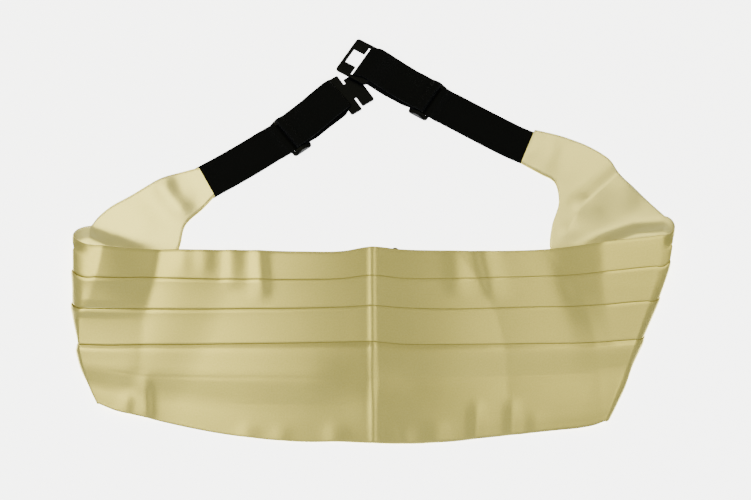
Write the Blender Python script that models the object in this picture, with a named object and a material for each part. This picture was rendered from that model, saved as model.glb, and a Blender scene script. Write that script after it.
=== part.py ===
"""Pleated satin cummerbund, laid down with its pleats up and both ends folded under.

Metres, +Z up, resting on z = 0.  X runs along the band, Y from its hem up to its straps.
The band is one long strip of sections.  It starts at the left strap, runs outwards as the
left wing with its lining up, turns over at the left fold, crosses as the pleated front,
turns over at the right fold and comes back as the right wing.  Every section has a top
point, a hem point and three pleat edges between them.  Cloth and lining lie on either side
of the surface through those sections, each a closed wall moved out along its normal.
"""
import math
from collections import namedtuple

import bmesh
import bpy
from mathutils import Vector

MM = 0.001

# Walls and gaps, in millimetres like every size below.
CLOTH = 1.0            # satin with its interlining, a pleat's flap, the lining, the webbing
SEAM_GAP = 0.3         # between pieces that are sewn together or lie on each other
LAID_GAP = 0.5         # between the front and the wing that it lies on
POCKET_GAP = 0.35      # inside a pleat, between the strip below and the strip above
POCKET_DEPTH = 6.0     # how far a pleat's pocket reaches down under its flap
POCKET_SHARE = 0.4     # and the largest part of a strip that it may take
POCKET_BEND = 0.05     # rise of the pocket's floor at its mouth
GROOVE = 0.6           # width of the line in front of a pleat's folded edge
NOSE = 0.3             # length over which a folded edge rounds off
NOSE_TOP = 0.35        # and over which it reaches its full height
STRIP_STOPS = (0.5,)               # places within a strip where the wall has a line
LAST_STRIP_STOPS = (0.3, 0.6, 0.85)

# Distances from the surface that parts the cloth from its lining.
INNER = 0.5 * SEAM_GAP
BASE = INNER + CLOTH                       # outside of a single layer of cloth
THIN = BASE + 0.15                         # outside of a strip just above the next pleat
FLAP_UNDER = BASE + POCKET_GAP
FLAP = FLAP_UNDER + CLOTH                  # outside of a pleat's folded edge
LINING_FACE = INNER + CLOTH

# Where a wing is sewn to a strap its pleats are flat: depths under the flap's face.
SEWN_FLOOR = 0.45
SEWN_ROOF = 0.25
SEWN_POCKET = 0.9      # and what is left of a pocket's reach

FRONT_LEVEL = LINING_FACE                  # height of that surface where the front lies flat
WING_LEVEL = FLAP                          # and where a wing lies with its pleats down
WING_THICKNESS = WING_LEVEL + LINING_FACE
ON_WING = WING_THICKNESS + LAID_GAP        # how much higher the front lies on a wing

# The plan is drawn from the middle of the front's top edge, then moved by this much,
# so that the middle of the whole object's outline lies over the origin.
PLAN_SHIFT = Vector((0.20, -14.13, 0.0))

# One row for each section, from the left strap to the right one: where its top and its hem
# lie, the height of the first three strips, how far the front rises there above what it
# lies on, and how far the section bows outwards beside a fold.
Section = namedtuple(
    "Section", "top_x top_y hem_x hem_y strip_1 strip_2 strip_3 rise_top rise_hem bow")

LEFT_WING = [
    Section(-122.0, 61.1, -109.3, 38.9, 6.4, 6.4, 6.4, 0.0, 0.0, 0.0),
    Section(-131.3, 58.8, -116.8, 30.0, 7.8, 7.6, 8.0, 0.0, 0.0, 0.0),
    Section(-148.2, 52.9, -128.1, 17.4, 9.5, 9.2, 10.2, 0.0, 0.0, 0.0),
    Section(-167.9, 39.8, -132.0, -1.2, 12.4, 11.6, 13.2, 0.0, 0.0, 0.0),
    Section(-180.0, 32.0, -139.5, -32.0, 16.8, 15.2, 17.2, 0.0, 0.0, 0.5),
    Section(-188.0, 25.2, -153.0, -68.0, 21.8, 19.6, 22.4, 0.0, 0.0, 2.5),
    Section(-193.5, 19.0, -172.0, -110.5, 26.6, 23.6, 27.6, 0.0, 0.0, 6.7),
]
FRONT = [
    Section(-190.5, -2.8, -171.5, -114.5, 24.0, 22.3, 25.3, 9.4, 1.4, 6.7),
    Section(-181.4, -2.4, -163.7, -117.0, 23.4, 22.1, 25.5, 4.9, 1.0, 5.0),
    Section(-165.3, -2.2, -152.0, -119.3, 22.2, 22.3, 25.2, 1.6, 0.6, 2.5),
    Section(-144.7, -2.0, -141.0, -121.0, 21.4, 22.3, 25.0, 0.2, 0.3, 0.8),
    Section(-118.1, -1.2, -110.4, -127.6, 21.6, 22.0, 25.0, 0.0, 0.0, 0.0),
    Section(-84.4, -1.1, -80.0, -132.5, 21.6, 21.6, 24.8, 0.0, 0.0, 0.0),
    Section(-50.8, -2.0, -47.2, -135.4, 21.3, 21.3, 24.7, 0.0, 0.0, 0.0),
    Section(-22.0, -2.2, -20.8, -135.8, 20.9, 21.1, 24.8, 0.0, 0.0, 0.0),
    Section(-2.3, -2.0, -1.6, -136.2, 21.0, 21.2, 24.9, 0.0, 0.0, 0.0),
    Section(16.5, -1.8, 15.5, -136.7, 21.2, 21.4, 25.2, 0.0, 0.0, 0.0),
    Section(50.1, -1.5, 45.3, -135.7, 21.0, 22.0, 25.2, 0.0, 0.0, 0.0),
    Section(83.7, -1.9, 73.9, -132.7, 20.6, 22.3, 25.6, 0.0, 0.0, 0.0),
    Section(114.0, -1.5, 98.2, -129.8, 20.8, 22.5, 26.0, 0.3, 0.0, 0.0),
    Section(140.6, 0.3, 115.5, -127.9, 22.2, 23.3, 26.5, 2.4, 0.2, 0.8),
    Section(163.9, 3.0, 130.0, -127.0, 23.4, 24.5, 27.2, 4.4, 0.6, 2.2),
    Section(180.5, 5.0, 139.7, -125.3, 24.1, 25.5, 28.0, 4.9, 1.0, 4.0),
    Section(192.5, 6.4, 146.0, -122.5, 24.8, 26.2, 28.4, 4.4, 1.4, 5.2),
]
RIGHT_WING = [
    Section(195.5, 22.5, 147.0, -118.0, 27.0, 28.0, 30.0, 0.0, 0.0, 5.2),
    Section(186.6, 35.0, 139.0, -66.0, 21.5, 22.2, 24.0, 0.0, 0.0, 1.5),
    Section(177.5, 46.5, 124.0, -25.0, 17.0, 17.4, 19.0, 0.0, 0.0, 0.3),
    Section(167.8, 58.1, 117.9, -1.2, 14.8, 15.0, 16.4, 0.0, 0.0, 0.0),
    Section(161.6, 68.6, 118.4, 17.4, 13.0, 13.0, 14.2, 0.0, 0.0, 0.0),
    Section(148.4, 78.3, 123.5, 36.5, 11.0, 10.6, 11.2, 0.0, 0.0, 0.0),
    Section(138.9, 82.8, 122.0, 49.5, 9.0, 8.8, 9.0, 0.0, 0.0, 0.0),
    Section(127.5, 87.0, 113.5, 56.5, 8.2, 8.0, 8.2, 0.0, 0.0, 0.0),
    Section(111.4, 89.6, 100.4, 64.5, 6.8, 6.8, 6.8, 0.0, 0.0, 0.0),
]

# A fold: the direction it points in, how far it reaches past its neighbours at the top
# and at the hem, and where between them it bows most (1 is the middle).
Fold = namedtuple("Fold", "out_x out_y reach_top reach_hem bow_skew")
LEFT_FOLD = Fold(-0.978, -0.210, 8.9, 4.2, 1.10)
RIGHT_FOLD = Fold(0.937, -0.350, 6.4, 3.0, 0.75)
FOLD_STEPS = 8
PRESSED_SHARE = 0.6    # part of the turn over which the pleats stop lying pressed

# Places across the band, from hem to top, where the cloth meets its lining.
INSIDE_STOPS = (1.0, 0.8, 0.6, 0.4, 0.2, 0.0)

SECTION_STEP = 9.5     # largest distance between two sections of the finished wall
WING_RAMP = 17.0       # width of the slope where the front comes down off a wing
WING_MARGIN = 7.0      # how far past the wing's edge that slope begins

# The pressed crease down the middle of the front stands up like a low tent at the top edge.
TENT_X = -2.3
TENT_HEIGHT = 8.2
TENT_LEFT = 15.0       # how fast it falls away on either side
TENT_RIGHT = 20.0
TENT_REACH = 50.0      # and where it has ended

# Soft ridges across the wings: their two ends, height and half width.
Ridge = namedtuple("Ridge", "x0 y0 x1 y1 height half_width")
RIDGES = [
    Ridge(-151.0, 47.5, -129.0, 25.0, 2.2, 9.0),
    Ridge(166.0, 57.0, 146.0, 37.0, 3.2, 12.0),
    Ridge(146.0, 37.0, 133.0, 19.0, 2.8, 12.0),
]

# Webbing straps.
WEB_WIDTH = 25.4
TONGUE = 11.0          # length sewn in between the wing's cloth and its lining
SEWN_IN = 26.0         # length over which the cloth thins to take the tongue
TONGUE_STRAIGHT = 12.0  # from inside the wing, level up to here
TONGUE_DOWN = 25.0     # and down on the table from here
LAYER = CLOTH + SEAM_GAP
STRAP_STEP = 6.0       # largest distance between two places of a strap's route

# Slide, with two outer bars on the table and a raised middle bar.
SLIDE_LENGTH = 15.0
SLIDE_WIDTH = 31.0
SLIDE_SLOT = 27.2
SLIDE_OUTER_BAR = 2.2
SLIDE_MIDDLE_BAR = 2.0
SLIDE_THICKNESS = 1.2
SLIDE_MIDDLE_Z = 2.0 * LAYER
SLIDE_MIDDLE_THICKNESS = 1.0

# Where the webbing bends, measured along the strap from the slide's middle.
RAMP_FOOT = 13.0       # leaves the table
BAR_FAR = 8.2          # lies over an outer bar from here
BAR_NEAR = 5.0         # to here
DIP = 3.1              # and is down again under the middle bar
RETURN_FAR = 9.0       # the same for the layer that comes back on top
RETURN_NEAR = 5.2
RETURN_TOP = 2.0       # lies over the middle bar from here
WRAP_CENTER = -0.8     # middle of its turn round that bar
TAIL_END = 2.4
BEND_RADIUS = 2.0

# And from the middle of the plate's bar.
TURN_CENTER = 0.7      # middle of the turn round the bar
TURN_FROM = 4.0        # flat on the table up to here
TURN_TO = 5.0          # and flat on the plate's level again from here
RETURN_SAG = 0.9       # how much lower the upper layer lies halfway to the slide

# How far the layers lie off the strap's middle line: they never quite match.
SHIFT_AT_SLIDE = 0.8
SHIFT_UNDER = -0.8
SHIFT_OVER = 1.6
SHIFT_AT_PLATE = 0.2

# Hook and eye plates, measured along the strap from the bar that the webbing goes round.
PLATE_THICKNESS = 1.2
PLATE_SLOT = 26.4
BAR = 2.0
HOOK_WIDTH = 31.4
HOOK_SLOT_LENGTH = 3.2
HOOK_BODY_END = 7.8
HOOK_NOTCH = 3.0
HOOK_NECK = 11.4
HOOK_T_WIDTH = 24.6
HOOK_T_LENGTH = 8.8
EYE_WIDTH = 30.2
EYE_SLOT_LENGTH = 4.2
EYE_WINDOW_LENGTH = 7.6
EYE_WINDOW_WIDTH = 11.9
EYE_BORDER = 3.0
CORNER_RADIUS = 2.0
HOOK_CORNER_RADIUS = 1.0
CORNER_TURN = 60.0     # degrees; sharper upright edges are rounded

# Plan of each strap's middle line, from inside the wing's end to the plate's bar, and how
# far it is lifted at its plate: the right one lies across the hook's corner.
Strap = namedtuple("Strap", "side plan slide_at plate_lift")
LEFT_STRAP = Strap(
    "left",
    [(-125.0, 43.6), (-115.6, 50.0), (-87.5, 68.6), (-60.0, 88.7), (-41.0, 104.6),
     (-24.7, 118.1)],
    (-58.9, 89.6), 0.0)
RIGHT_STRAP = Strap(
    "right",
    [(116.2, 72.2), (106.2, 77.0), (94.6, 83.0), (72.4, 96.2), (37.6, 117.6),
     (14.0, 132.2), (-6.5, 144.6)],
    (37.6, 117.6), 2.8)
LIFT_LENGTH = 20.0     # length over which a lifted strap comes down to the table
LIFT_WHOLE = 6.0       # distance from the plate's bar up to which it is lifted in full

# Button loop of thin cord, sewn under the top edge beside the crease.
LOOP_X = 13.2
LOOP_HALF_WIDTH = 2.6
LOOP_REACH = 3.4       # how far it shows past the top edge
LOOP_LENGTH = 9.0
LOOP_RADIUS = 0.7
LOOP_Z = 0.8
LOOP_SIDES = 8
LOOP_STEPS = 8

SATIN_COLOR = (0.60, 0.55, 0.33)
LINING_COLOR = (0.78, 0.74, 0.58)
WEBBING_COLOR = (0.012, 0.012, 0.013)
PLASTIC_COLOR = (0.008, 0.008, 0.009)


def clear_scene():
    for old in list(bpy.data.objects):
        bpy.data.objects.remove(old, do_unlink=True)


def mix(a, b, share):
    return a + (b - a) * share


def ease(share):
    """Smooth step from 0 to 1."""
    share = min(max(share, 0.0), 1.0)
    return share * share * (3.0 - 2.0 * share)


def make_material(name, color, roughness, metallic=0.0):
    material = bpy.data.materials.new(name)
    material.use_nodes = True
    shader = material.node_tree.nodes["Principled BSDF"]
    shader.inputs["Base Color"].default_value = (*color, 1.0)
    shader.inputs["Roughness"].default_value = roughness
    shader.inputs["Metallic"].default_value = metallic
    return material


def make_object(name, points, faces, material, smooth=True):
    """Object from points in millimetres, its faces turned outwards."""
    mesh = bpy.data.meshes.new(name)
    mesh.from_pydata([(point + PLAN_SHIFT) * MM for point in points], [], faces)
    work = bmesh.new()
    work.from_mesh(mesh)
    bmesh.ops.recalc_face_normals(work, faces=work.faces)
    work.to_mesh(mesh)
    work.free()
    if smooth:
        mesh.shade_smooth()
        mesh.set_sharp_from_angle(angle=math.radians(40.0))
    mesh.materials.append(material)
    made = bpy.data.objects.new(name, mesh)
    bpy.context.collection.objects.link(made)
    return made


# ---------------------------------------------------------------- the band's sections

def smooth_rows(rows, largest_step):
    """Rows on a cubic through the given rows, spaced by the middle of each section."""
    kind = type(rows[0])
    middles = [Vector((0.5 * (row.top_x + row.hem_x), 0.5 * (row.top_y + row.hem_y)))
               for row in rows]
    spans = [(b - a).length for a, b in zip(middles, middles[1:])]

    def slope(index, column):
        def chord(span):
            return (rows[span + 1][column] - rows[span][column]) / spans[span]
        if index == 0:
            return chord(0)
        if index == len(rows) - 1:
            return chord(index - 1)
        before, after = spans[index - 1], spans[index]
        return (after * chord(index - 1) + before * chord(index)) / (before + after)

    dense = []
    for index, span in enumerate(spans):
        steps = max(1, math.ceil(span / largest_step))
        for step in range(steps):
            u = step / steps
            values = []
            for column in range(len(kind._fields)):
                a, b = rows[index][column], rows[index + 1][column]
                leave = slope(index, column) * span
                arrive = slope(index + 1, column) * span
                values.append(
                    a * (1.0 + 2.0 * u) * (1.0 - u) ** 2 + leave * u * (1.0 - u) ** 2
                    + b * u * u * (3.0 - 2.0 * u) + arrive * u * u * (u - 1.0))
            dense.append(kind(*values))
    dense.append(rows[-1])
    return dense


def hidden_edge(wing):
    """The wing's hem where it lies under the front, as (y, x) from the fold up."""
    return sorted((row.hem_y, row.hem_x) for row in smooth_rows(wing, SECTION_STEP)
                  if row.hem_y <= 0.0)


def edge_at(hidden, y):
    """X of a wing's hidden hem at this Y."""
    if y <= hidden[0][0]:
        return hidden[0][1]
    for (y0, x0), (y1, x1) in zip(hidden, hidden[1:]):
        if y <= y1:
            return mix(x0, x1, (y - y0) / (y1 - y0))
    return hidden[-1][1]


LEFT_EDGE = hidden_edge(LEFT_WING)
RIGHT_EDGE = hidden_edge(RIGHT_WING)


def on_wing(x, y):
    """How much of the wing's thickness the front has under it at this place, 0 to 1."""
    past_left = x - edge_at(LEFT_EDGE, y)
    past_right = edge_at(RIGHT_EDGE, y) - x
    past = min(past_left, past_right) - WING_MARGIN
    return 1.0 - ease(past / WING_RAMP)


def tent(x):
    away = abs(x - TENT_X)
    fall = TENT_LEFT if x < TENT_X else TENT_RIGHT
    return TENT_HEIGHT * math.exp(-away / fall) * (1.0 - ease(away / TENT_REACH))


def ridge_height(x, y):
    """Height of the wings' soft ridges at this place."""
    height = 0.0
    for ridge in RIDGES:
        start = Vector((ridge.x0, ridge.y0))
        along = Vector((ridge.x1, ridge.y1)) - start
        place = Vector((x, y)) - start
        share = min(max(place.dot(along) / along.length_squared, 0.0), 1.0)
        away = (place - along * share).length
        height = max(height, ridge.height * (1.0 - ease(away / ridge.half_width)))
    return height


def bow_shape(fold, t):
    return math.sin(math.pi * t ** fold.bow_skew)


def plan_point(row, fold, t):
    bow = row.bow * bow_shape(fold, t)
    x = mix(row.top_x, row.hem_x, t) + bow * fold.out_x
    y = mix(row.top_y, row.hem_y, t) + bow * fold.out_y
    return x, y


def front_point(row, fold, t):
    x, y = plan_point(row, fold, t)
    rise = max(mix(row.rise_top, row.rise_hem, t), 0.0) + tent(x) * (1.0 - t)
    return Vector((x, y, FRONT_LEVEL + ON_WING * on_wing(x, y) + rise))


def wing_point(row, fold, t):
    x, y = plan_point(row, fold, t)
    return Vector((x, y, WING_LEVEL + ridge_height(x, y)))


class Band:
    """All sections in order, each with a function from 0 at the top to 1 at the hem."""

    def __init__(self):
        left = smooth_rows(LEFT_WING, SECTION_STEP)
        front = smooth_rows(FRONT, SECTION_STEP)
        right = smooth_rows(RIGHT_WING, SECTION_STEP)
        self.rows = []
        self.points = []
        self.pressed = []      # 1 where the pleats lie pressed on the table, 0 on the front
        self.sewn = []         # 1 at a strap, 0 from SEWN_IN on
        self.add_wing(left, LEFT_FOLD, left[0])
        self.add_fold(left[-1], front[0], LEFT_FOLD)
        for row in front:
            fold = LEFT_FOLD if row.top_x < 0.0 else RIGHT_FOLD
            self.add(row, lambda t, row=row, fold=fold: front_point(row, fold, t), 0.0, 0.0)
        self.add_fold(front[-1], right[0], RIGHT_FOLD)
        self.add_wing(right, RIGHT_FOLD, right[-1])

    def add(self, row, point, pressed, sewn):
        self.rows.append(row)
        self.points.append(point)
        self.pressed.append(pressed)
        self.sewn.append(sewn)

    def add_wing(self, rows, fold, strap_end):
        end = Vector((strap_end.top_x, strap_end.top_y))
        for row in rows:
            away = (Vector((row.top_x, row.top_y)) - end).length
            sewn = 1.0 - ease((away - TONGUE) / (SEWN_IN - TONGUE))
            self.add(row, lambda t, row=row: wing_point(row, fold, t), 1.0, sewn)

    def add_fold(self, before, after, fold):
        """Half a turn between a wing's last section and the front's first, or back."""
        front_first = before.rise_top > 0.0
        start = front_point if front_first else wing_point
        finish = wing_point if front_first else front_point
        out = Vector((fold.out_x, fold.out_y, 0.0))
        for step in range(1, FOLD_STEPS):
            angle = math.pi * step / FOLD_STEPS
            share = 0.5 * (1.0 - math.cos(angle))
            values = [mix(a, b, share) for a, b in zip(before, after)]

            def point(t, share=share, angle=angle):
                reach = mix(fold.reach_top, fold.reach_hem, t) * math.sin(angle)
                return start(before, fold, t).lerp(finish(after, fold, t), share) + out * reach

            turned = step / FOLD_STEPS
            off_table = 1.0 - turned if front_first else turned
            pressed = 1.0 - ease(off_table / PRESSED_SHARE)
            self.add(Section(*values), point, pressed, 0.0)

    def length(self, index):
        row = self.rows[index]
        return math.hypot(row.top_x - row.hem_x, row.top_y - row.hem_y)

    def normal(self, index, t):
        """Outwards: up on the front, down on the wings."""
        nudge = 0.01
        low = max(t - nudge, 0.0)
        high = min(t + nudge, 1.0)
        before = max(index - 1, 0)
        after = min(index + 1, len(self.points) - 1)
        across = self.points[index](high) - self.points[index](low)
        along = self.points[after](t) - self.points[before](t)
        return across.cross(along).normalized()

    def at(self, index, t, distance):
        return self.points[index](t) + self.normal(index, t) * distance


def loft(name, rings, material, turned_back=()):
    """Closed wall through rings of equal length, with a cap at either end.

    turned_back lists the ring's stretches that run backwards.  Their faces are split the
    other way, so that two walls facing each other across a narrow gap stay parallel.
    """
    count = len(rings[0])
    points = [point for ring in rings for point in ring]
    faces = []
    for ring in range(len(rings) - 1):
        here, there = ring * count, (ring + 1) * count
        for k in range(count):
            nxt = (k + 1) % count
            if k in turned_back:
                faces.append((here + k, there + k, here + nxt))
                faces.append((there + k, there + nxt, here + nxt))
            else:
                faces.append((here + k, there + k, there + nxt))
                faces.append((here + k, there + nxt, here + nxt))
    faces.append(tuple(range(count)))
    last = (len(rings) - 1) * count
    faces.append(tuple(reversed(range(last, last + count))))
    return make_object(name, points, faces, material)


def stretches_back(profile):
    """Stretches of a closed profile that run from the hem towards the top."""
    return {k for k in range(len(profile)) if profile[(k + 1) % len(profile)][0] < profile[k][0]}


def pleated_profile(band, index):
    """Outline of the cloth at one section: places from top to hem and back, as (t, distance)."""
    row = band.rows[index]
    length = band.length(index)
    pressed, sewn = band.pressed[index], band.sewn[index]
    low = mix(THIN, FLAP, pressed)
    floor = mix(BASE, FLAP - SEWN_FLOOR, sewn)
    roof = mix(FLAP_UNDER, FLAP - SEWN_ROOF, sewn)
    inside = mix(INNER, FLAP - CLOTH, sewn)
    edges = [row.strip_1, row.strip_1 + row.strip_2, row.strip_1 + row.strip_2 + row.strip_3]

    outline = [(0.0, low), (0.5 * edges[0], low)]
    for number, edge in enumerate(edges):
        below = edges[number + 1] if number + 1 < len(edges) else length
        depth = mix(min(POCKET_DEPTH, POCKET_SHARE * (below - edge)), SEWN_POCKET, sewn)
        tip = 0.5 * (roof + FLAP)
        outline += [
            (edge - GROOVE, low), (edge - NOSE, floor + POCKET_BEND), (edge + depth, floor),
            (edge + depth, roof), (edge + NOSE, roof), (edge, tip), (edge + NOSE_TOP, FLAP)]
        is_last = number + 1 == len(edges)
        for stop in LAST_STRIP_STOPS if is_last else STRIP_STOPS:
            outline.append((mix(edge, below, stop), mix(FLAP, low, stop)))
    outline.append((length, low))
    for stop in INSIDE_STOPS:
        outline.append((stop * length, inside))
    return [(place / length, distance) for place, distance in outline]


def build_front(band, material):
    profiles = [pleated_profile(band, index) for index in range(len(band.rows))]
    rings = [[band.at(index, t, distance) for t, distance in profile]
             for index, profile in enumerate(profiles)]
    return loft("front", rings, material, stretches_back(profiles[0]))


def build_lining(band, material):
    profile = [(t, -LINING_FACE) for t in reversed(INSIDE_STOPS)]
    profile += [(t, -INNER) for t in INSIDE_STOPS]
    rings = [[band.at(index, t, distance) for t, distance in profile]
             for index in range(len(band.rows))]
    return loft("lining", rings, material, stretches_back(profile))


# ---------------------------------------------------------------- straps and their plates

class Plan:
    """Smooth line through plan points, read by distance along it."""

    def __init__(self, points):
        self.places = []
        ends = [Vector(points[0]) * 2 - Vector(points[1]),
                Vector(points[-1]) * 2 - Vector(points[-2])]
        line = [ends[0]] + [Vector(point) for point in points] + [ends[1]]
        for a, b, c, d in zip(line, line[1:], line[2:], line[3:]):
            for step in range(12):
                u = step / 12.0
                self.places.append(0.5 * (2 * b + (c - a) * u
                                          + (2 * a - 5 * b + 4 * c - d) * u * u
                                          + (3 * b - a - 3 * c + d) * u ** 3))
        self.places.append(line[-2])
        self.distances = [0.0]
        for a, b in zip(self.places, self.places[1:]):
            self.distances.append(self.distances[-1] + (b - a).length)
        self.length = self.distances[-1]

    def nearest(self, target):
        """Distance along the line of the place nearest to a plan point."""
        target = Vector(target)
        best = min(range(len(self.places)), key=lambda k: (self.places[k] - target).length)
        return self.distances[best]

    def at(self, distance):
        """Place and direction; past either end the line runs straight on."""
        index = 0
        while index < len(self.places) - 2 and self.distances[index + 1] < distance:
            index += 1
        a, b = self.places[index], self.places[index + 1]
        direction = (b - a).normalized()
        return a + direction * (distance - self.distances[index]), direction

    def heading(self, distance, span=6.0):
        """Direction of the line averaged over a short span."""
        return (self.at(distance + span / 2)[0] - self.at(distance - span / 2)[0]).normalized()


def rounded(corners, radius, steps=3):
    """The corners of a line in (along, height), each replaced by an arc where it fits."""
    line = [corners[0]]
    for before, corner, after in zip(corners, corners[1:], corners[2:]):
        incoming = (corner - before).normalized()
        outgoing = (after - corner).normalized()
        turn = incoming.angle(outgoing)
        if turn < 0.05:
            line.append(corner)
            continue
        room = 0.45 * min((corner - before).length, (after - corner).length)
        cut = min(radius * math.tan(turn / 2.0), room)
        start, finish = corner - incoming * cut, corner + outgoing * cut
        for step in range(steps + 1):
            u = step / steps
            line.append((1 - u) ** 2 * start + 2 * u * (1 - u) * corner + u * u * finish)
    line.append(corners[-1])
    return line


def divided(line, largest_step):
    """The same line with its long stretches cut into equal steps."""
    cut = []
    for a, b in zip(line, line[1:]):
        steps = max(1, math.ceil((b - a).length / largest_step))
        cut += [a.lerp(b, step / steps) for step in range(steps)]
    return cut + [line[-1]]


def half_turn(center, radius, start_angle, sign, steps=8):
    """Half a circle in (along, height), from start_angle, turning up or down with sign."""
    turn = []
    for step in range(steps + 1):
        angle = start_angle + sign * math.pi * step / steps
        turn.append(center + Vector((math.cos(angle), math.sin(angle))) * radius)
    return turn


def strap_route(slide, bar, bar_z):
    """The webbing's middle line: to the plate, round its bar, back and round the slide."""
    on_table = 0.5 * CLOTH
    over_bar = SLIDE_THICKNESS + SEAM_GAP + 0.5 * CLOTH
    over_both = over_bar + LAYER
    tongue = CLOTH + SEAM_GAP + 0.5 * CLOTH
    middle = SLIDE_MIDDLE_Z + 0.5 * SLIDE_MIDDLE_THICKNESS
    wrap = 0.5 * SLIDE_MIDDLE_THICKNESS + SEAM_GAP + 0.5 * CLOTH
    bar_wrap = 0.5 * PLATE_THICKNESS + SEAM_GAP + 0.5 * CLOTH

    out = [(0.0, tongue), (TONGUE_STRAIGHT, tongue), (TONGUE_DOWN, on_table),
           (slide - RAMP_FOOT, on_table), (slide - BAR_FAR, over_bar),
           (slide - BAR_NEAR, over_bar), (slide - DIP, on_table), (slide + DIP, on_table),
           (slide + BAR_NEAR, over_bar), (slide + BAR_FAR, over_bar),
           (slide + RAMP_FOOT, on_table), (bar - TURN_FROM, on_table)]
    out = divided(rounded([Vector(point) for point in out], BEND_RADIUS), STRAP_STEP)
    out.append(Vector((bar, on_table)))
    turn = Vector((bar + TURN_CENTER, bar_z))
    round_bar = half_turn(turn, bar_wrap, -math.pi / 2, 1.0)
    back = [(bar + 0.5 * TURN_CENTER, bar_z + bar_wrap), (bar - TURN_TO, bar_z + bar_wrap),
            (mix(slide, bar, 0.5), bar_z + bar_wrap - RETURN_SAG),
            (slide + RETURN_FAR, over_both), (slide + RETURN_NEAR, over_both),
            (slide + RETURN_TOP, middle + wrap), (slide, middle + wrap)]
    back = divided(rounded([Vector(point) for point in back], BEND_RADIUS), STRAP_STEP)
    round_slide = half_turn(Vector((slide + WRAP_CENTER, middle)), wrap, math.pi / 2, 1.0)
    tail = [Vector((slide + TAIL_END, middle - wrap))]
    return out + round_bar + back + round_slide + tail


def sideways(along, slide, bar, is_under):
    """How far a layer of the strap lies off its middle line."""
    share = (along - slide) / (bar - slide)
    if share <= 0.0:
        return SHIFT_AT_SLIDE * ease(1.0 + share)
    shift = SHIFT_UNDER if is_under else SHIFT_OVER
    leaving = mix(SHIFT_AT_SLIDE, shift, ease(share * 2.0))
    return mix(leaving, SHIFT_AT_PLATE, ease(share * 2.0 - 1.0))


def build_strap(strap, material):
    """Webbing as one closed ribbon, four points at every place of its route."""
    plan = Plan(strap.plan)
    slide, bar = plan.nearest(strap.slide_at), plan.length
    bar_z = LAYER + 0.5 * PLATE_THICKNESS
    route = strap_route(slide, bar, bar_z)
    turned_at = max(range(len(route)), key=lambda k: route[k].x)

    def lift(along):
        share = (along - (bar - LIFT_LENGTH - LIFT_WHOLE)) / LIFT_LENGTH
        return strap.plate_lift * ease(share)

    side = 1.0 if strap.side == "left" else -1.0
    rings = []
    for k, place in enumerate(route):
        before, after = route[max(k - 1, 0)], route[min(k + 1, len(route) - 1)]
        direction = (after - before).normalized()
        across = Vector((-direction.y, direction.x)) * 0.5 * CLOTH
        shift = side * sideways(place.x, slide, bar, k <= turned_at)
        ring = []
        for face, edge in ((1, 1), (1, -1), (-1, -1), (-1, 1)):
            spot = place + across * face
            middle, heading = plan.at(spot.x)
            left = Vector((-heading.y, heading.x))
            flat = middle + left * (0.5 * WEB_WIDTH * edge + shift)
            ring.append(Vector((flat.x, flat.y, spot.y + lift(place.x))))
        rings.append(ring)
    return loft(f"strap_{strap.side}", rings, material)


def lattice_plate(name, along, across, is_solid, low, high, material, place, heading):
    """Plate on a lattice of lines, solid in some of its cells, each line with its heights."""
    left = Vector((-heading.y, heading.x))
    points, index = [], {}

    def corner(i, j, top):
        key = (i, j, top)
        if key not in index:
            flat = place + heading * along[i] + left * across[j]
            height = high(along[i]) if top else low(along[i])
            index[key] = len(points)
            points.append(Vector((flat.x, flat.y, height)))
        return index[key]

    def solid(i, j):
        inside = 0 <= i < len(along) - 1 and 0 <= j < len(across) - 1
        return inside and is_solid(0.5 * (along[i] + along[i + 1]),
                                   abs(0.5 * (across[j] + across[j + 1])))

    faces = []
    for i in range(len(along) - 1):
        for j in range(len(across) - 1):
            if not solid(i, j):
                continue
            for top in (False, True):
                faces.append((corner(i, j, top), corner(i + 1, j, top),
                              corner(i + 1, j + 1, top), corner(i, j + 1, top)))
            walls = [(i - 1, j, (i, j), (i, j + 1)), (i + 1, j, (i + 1, j), (i + 1, j + 1)),
                     (i, j - 1, (i, j), (i + 1, j)), (i, j + 1, (i, j + 1), (i + 1, j + 1))]
            for next_i, next_j, a, b in walls:
                if not solid(next_i, next_j):
                    faces.append((corner(*a, False), corner(*b, False),
                                  corner(*b, True), corner(*a, True)))
    return make_object(name, points, faces, material, smooth=False)


def round_corners(plate, radius):
    """Round the upright edges at the plate's outer corners."""
    work = bmesh.new()
    work.from_mesh(plate.data)
    middle = sum((vertex.co for vertex in work.verts), Vector()) / len(work.verts)
    upright = []
    for edge in work.edges:
        low, high = edge.verts
        is_upright = (low.co - high.co).xy.length < 1e-7
        if is_upright and math.degrees(edge.calc_face_angle(0.0)) > CORNER_TURN:
            normal = (edge.link_faces[0].normal + edge.link_faces[1].normal).xy
            if edge.calc_face_angle_signed() > 0.0 and normal.dot((low.co - middle).xy) > 0.0:
                upright.append(edge)
    bmesh.ops.bevel(work, geom=upright, offset=radius * MM, offset_type="OFFSET", segments=3,
                    profile=0.5, affect="EDGES", clamp_overlap=True)
    work.to_mesh(plate.data)
    work.free()


def symmetric(*halves):
    """Lines on both sides of the middle, from the outermost in."""
    return [-half for half in halves] + list(reversed(halves))


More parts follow.
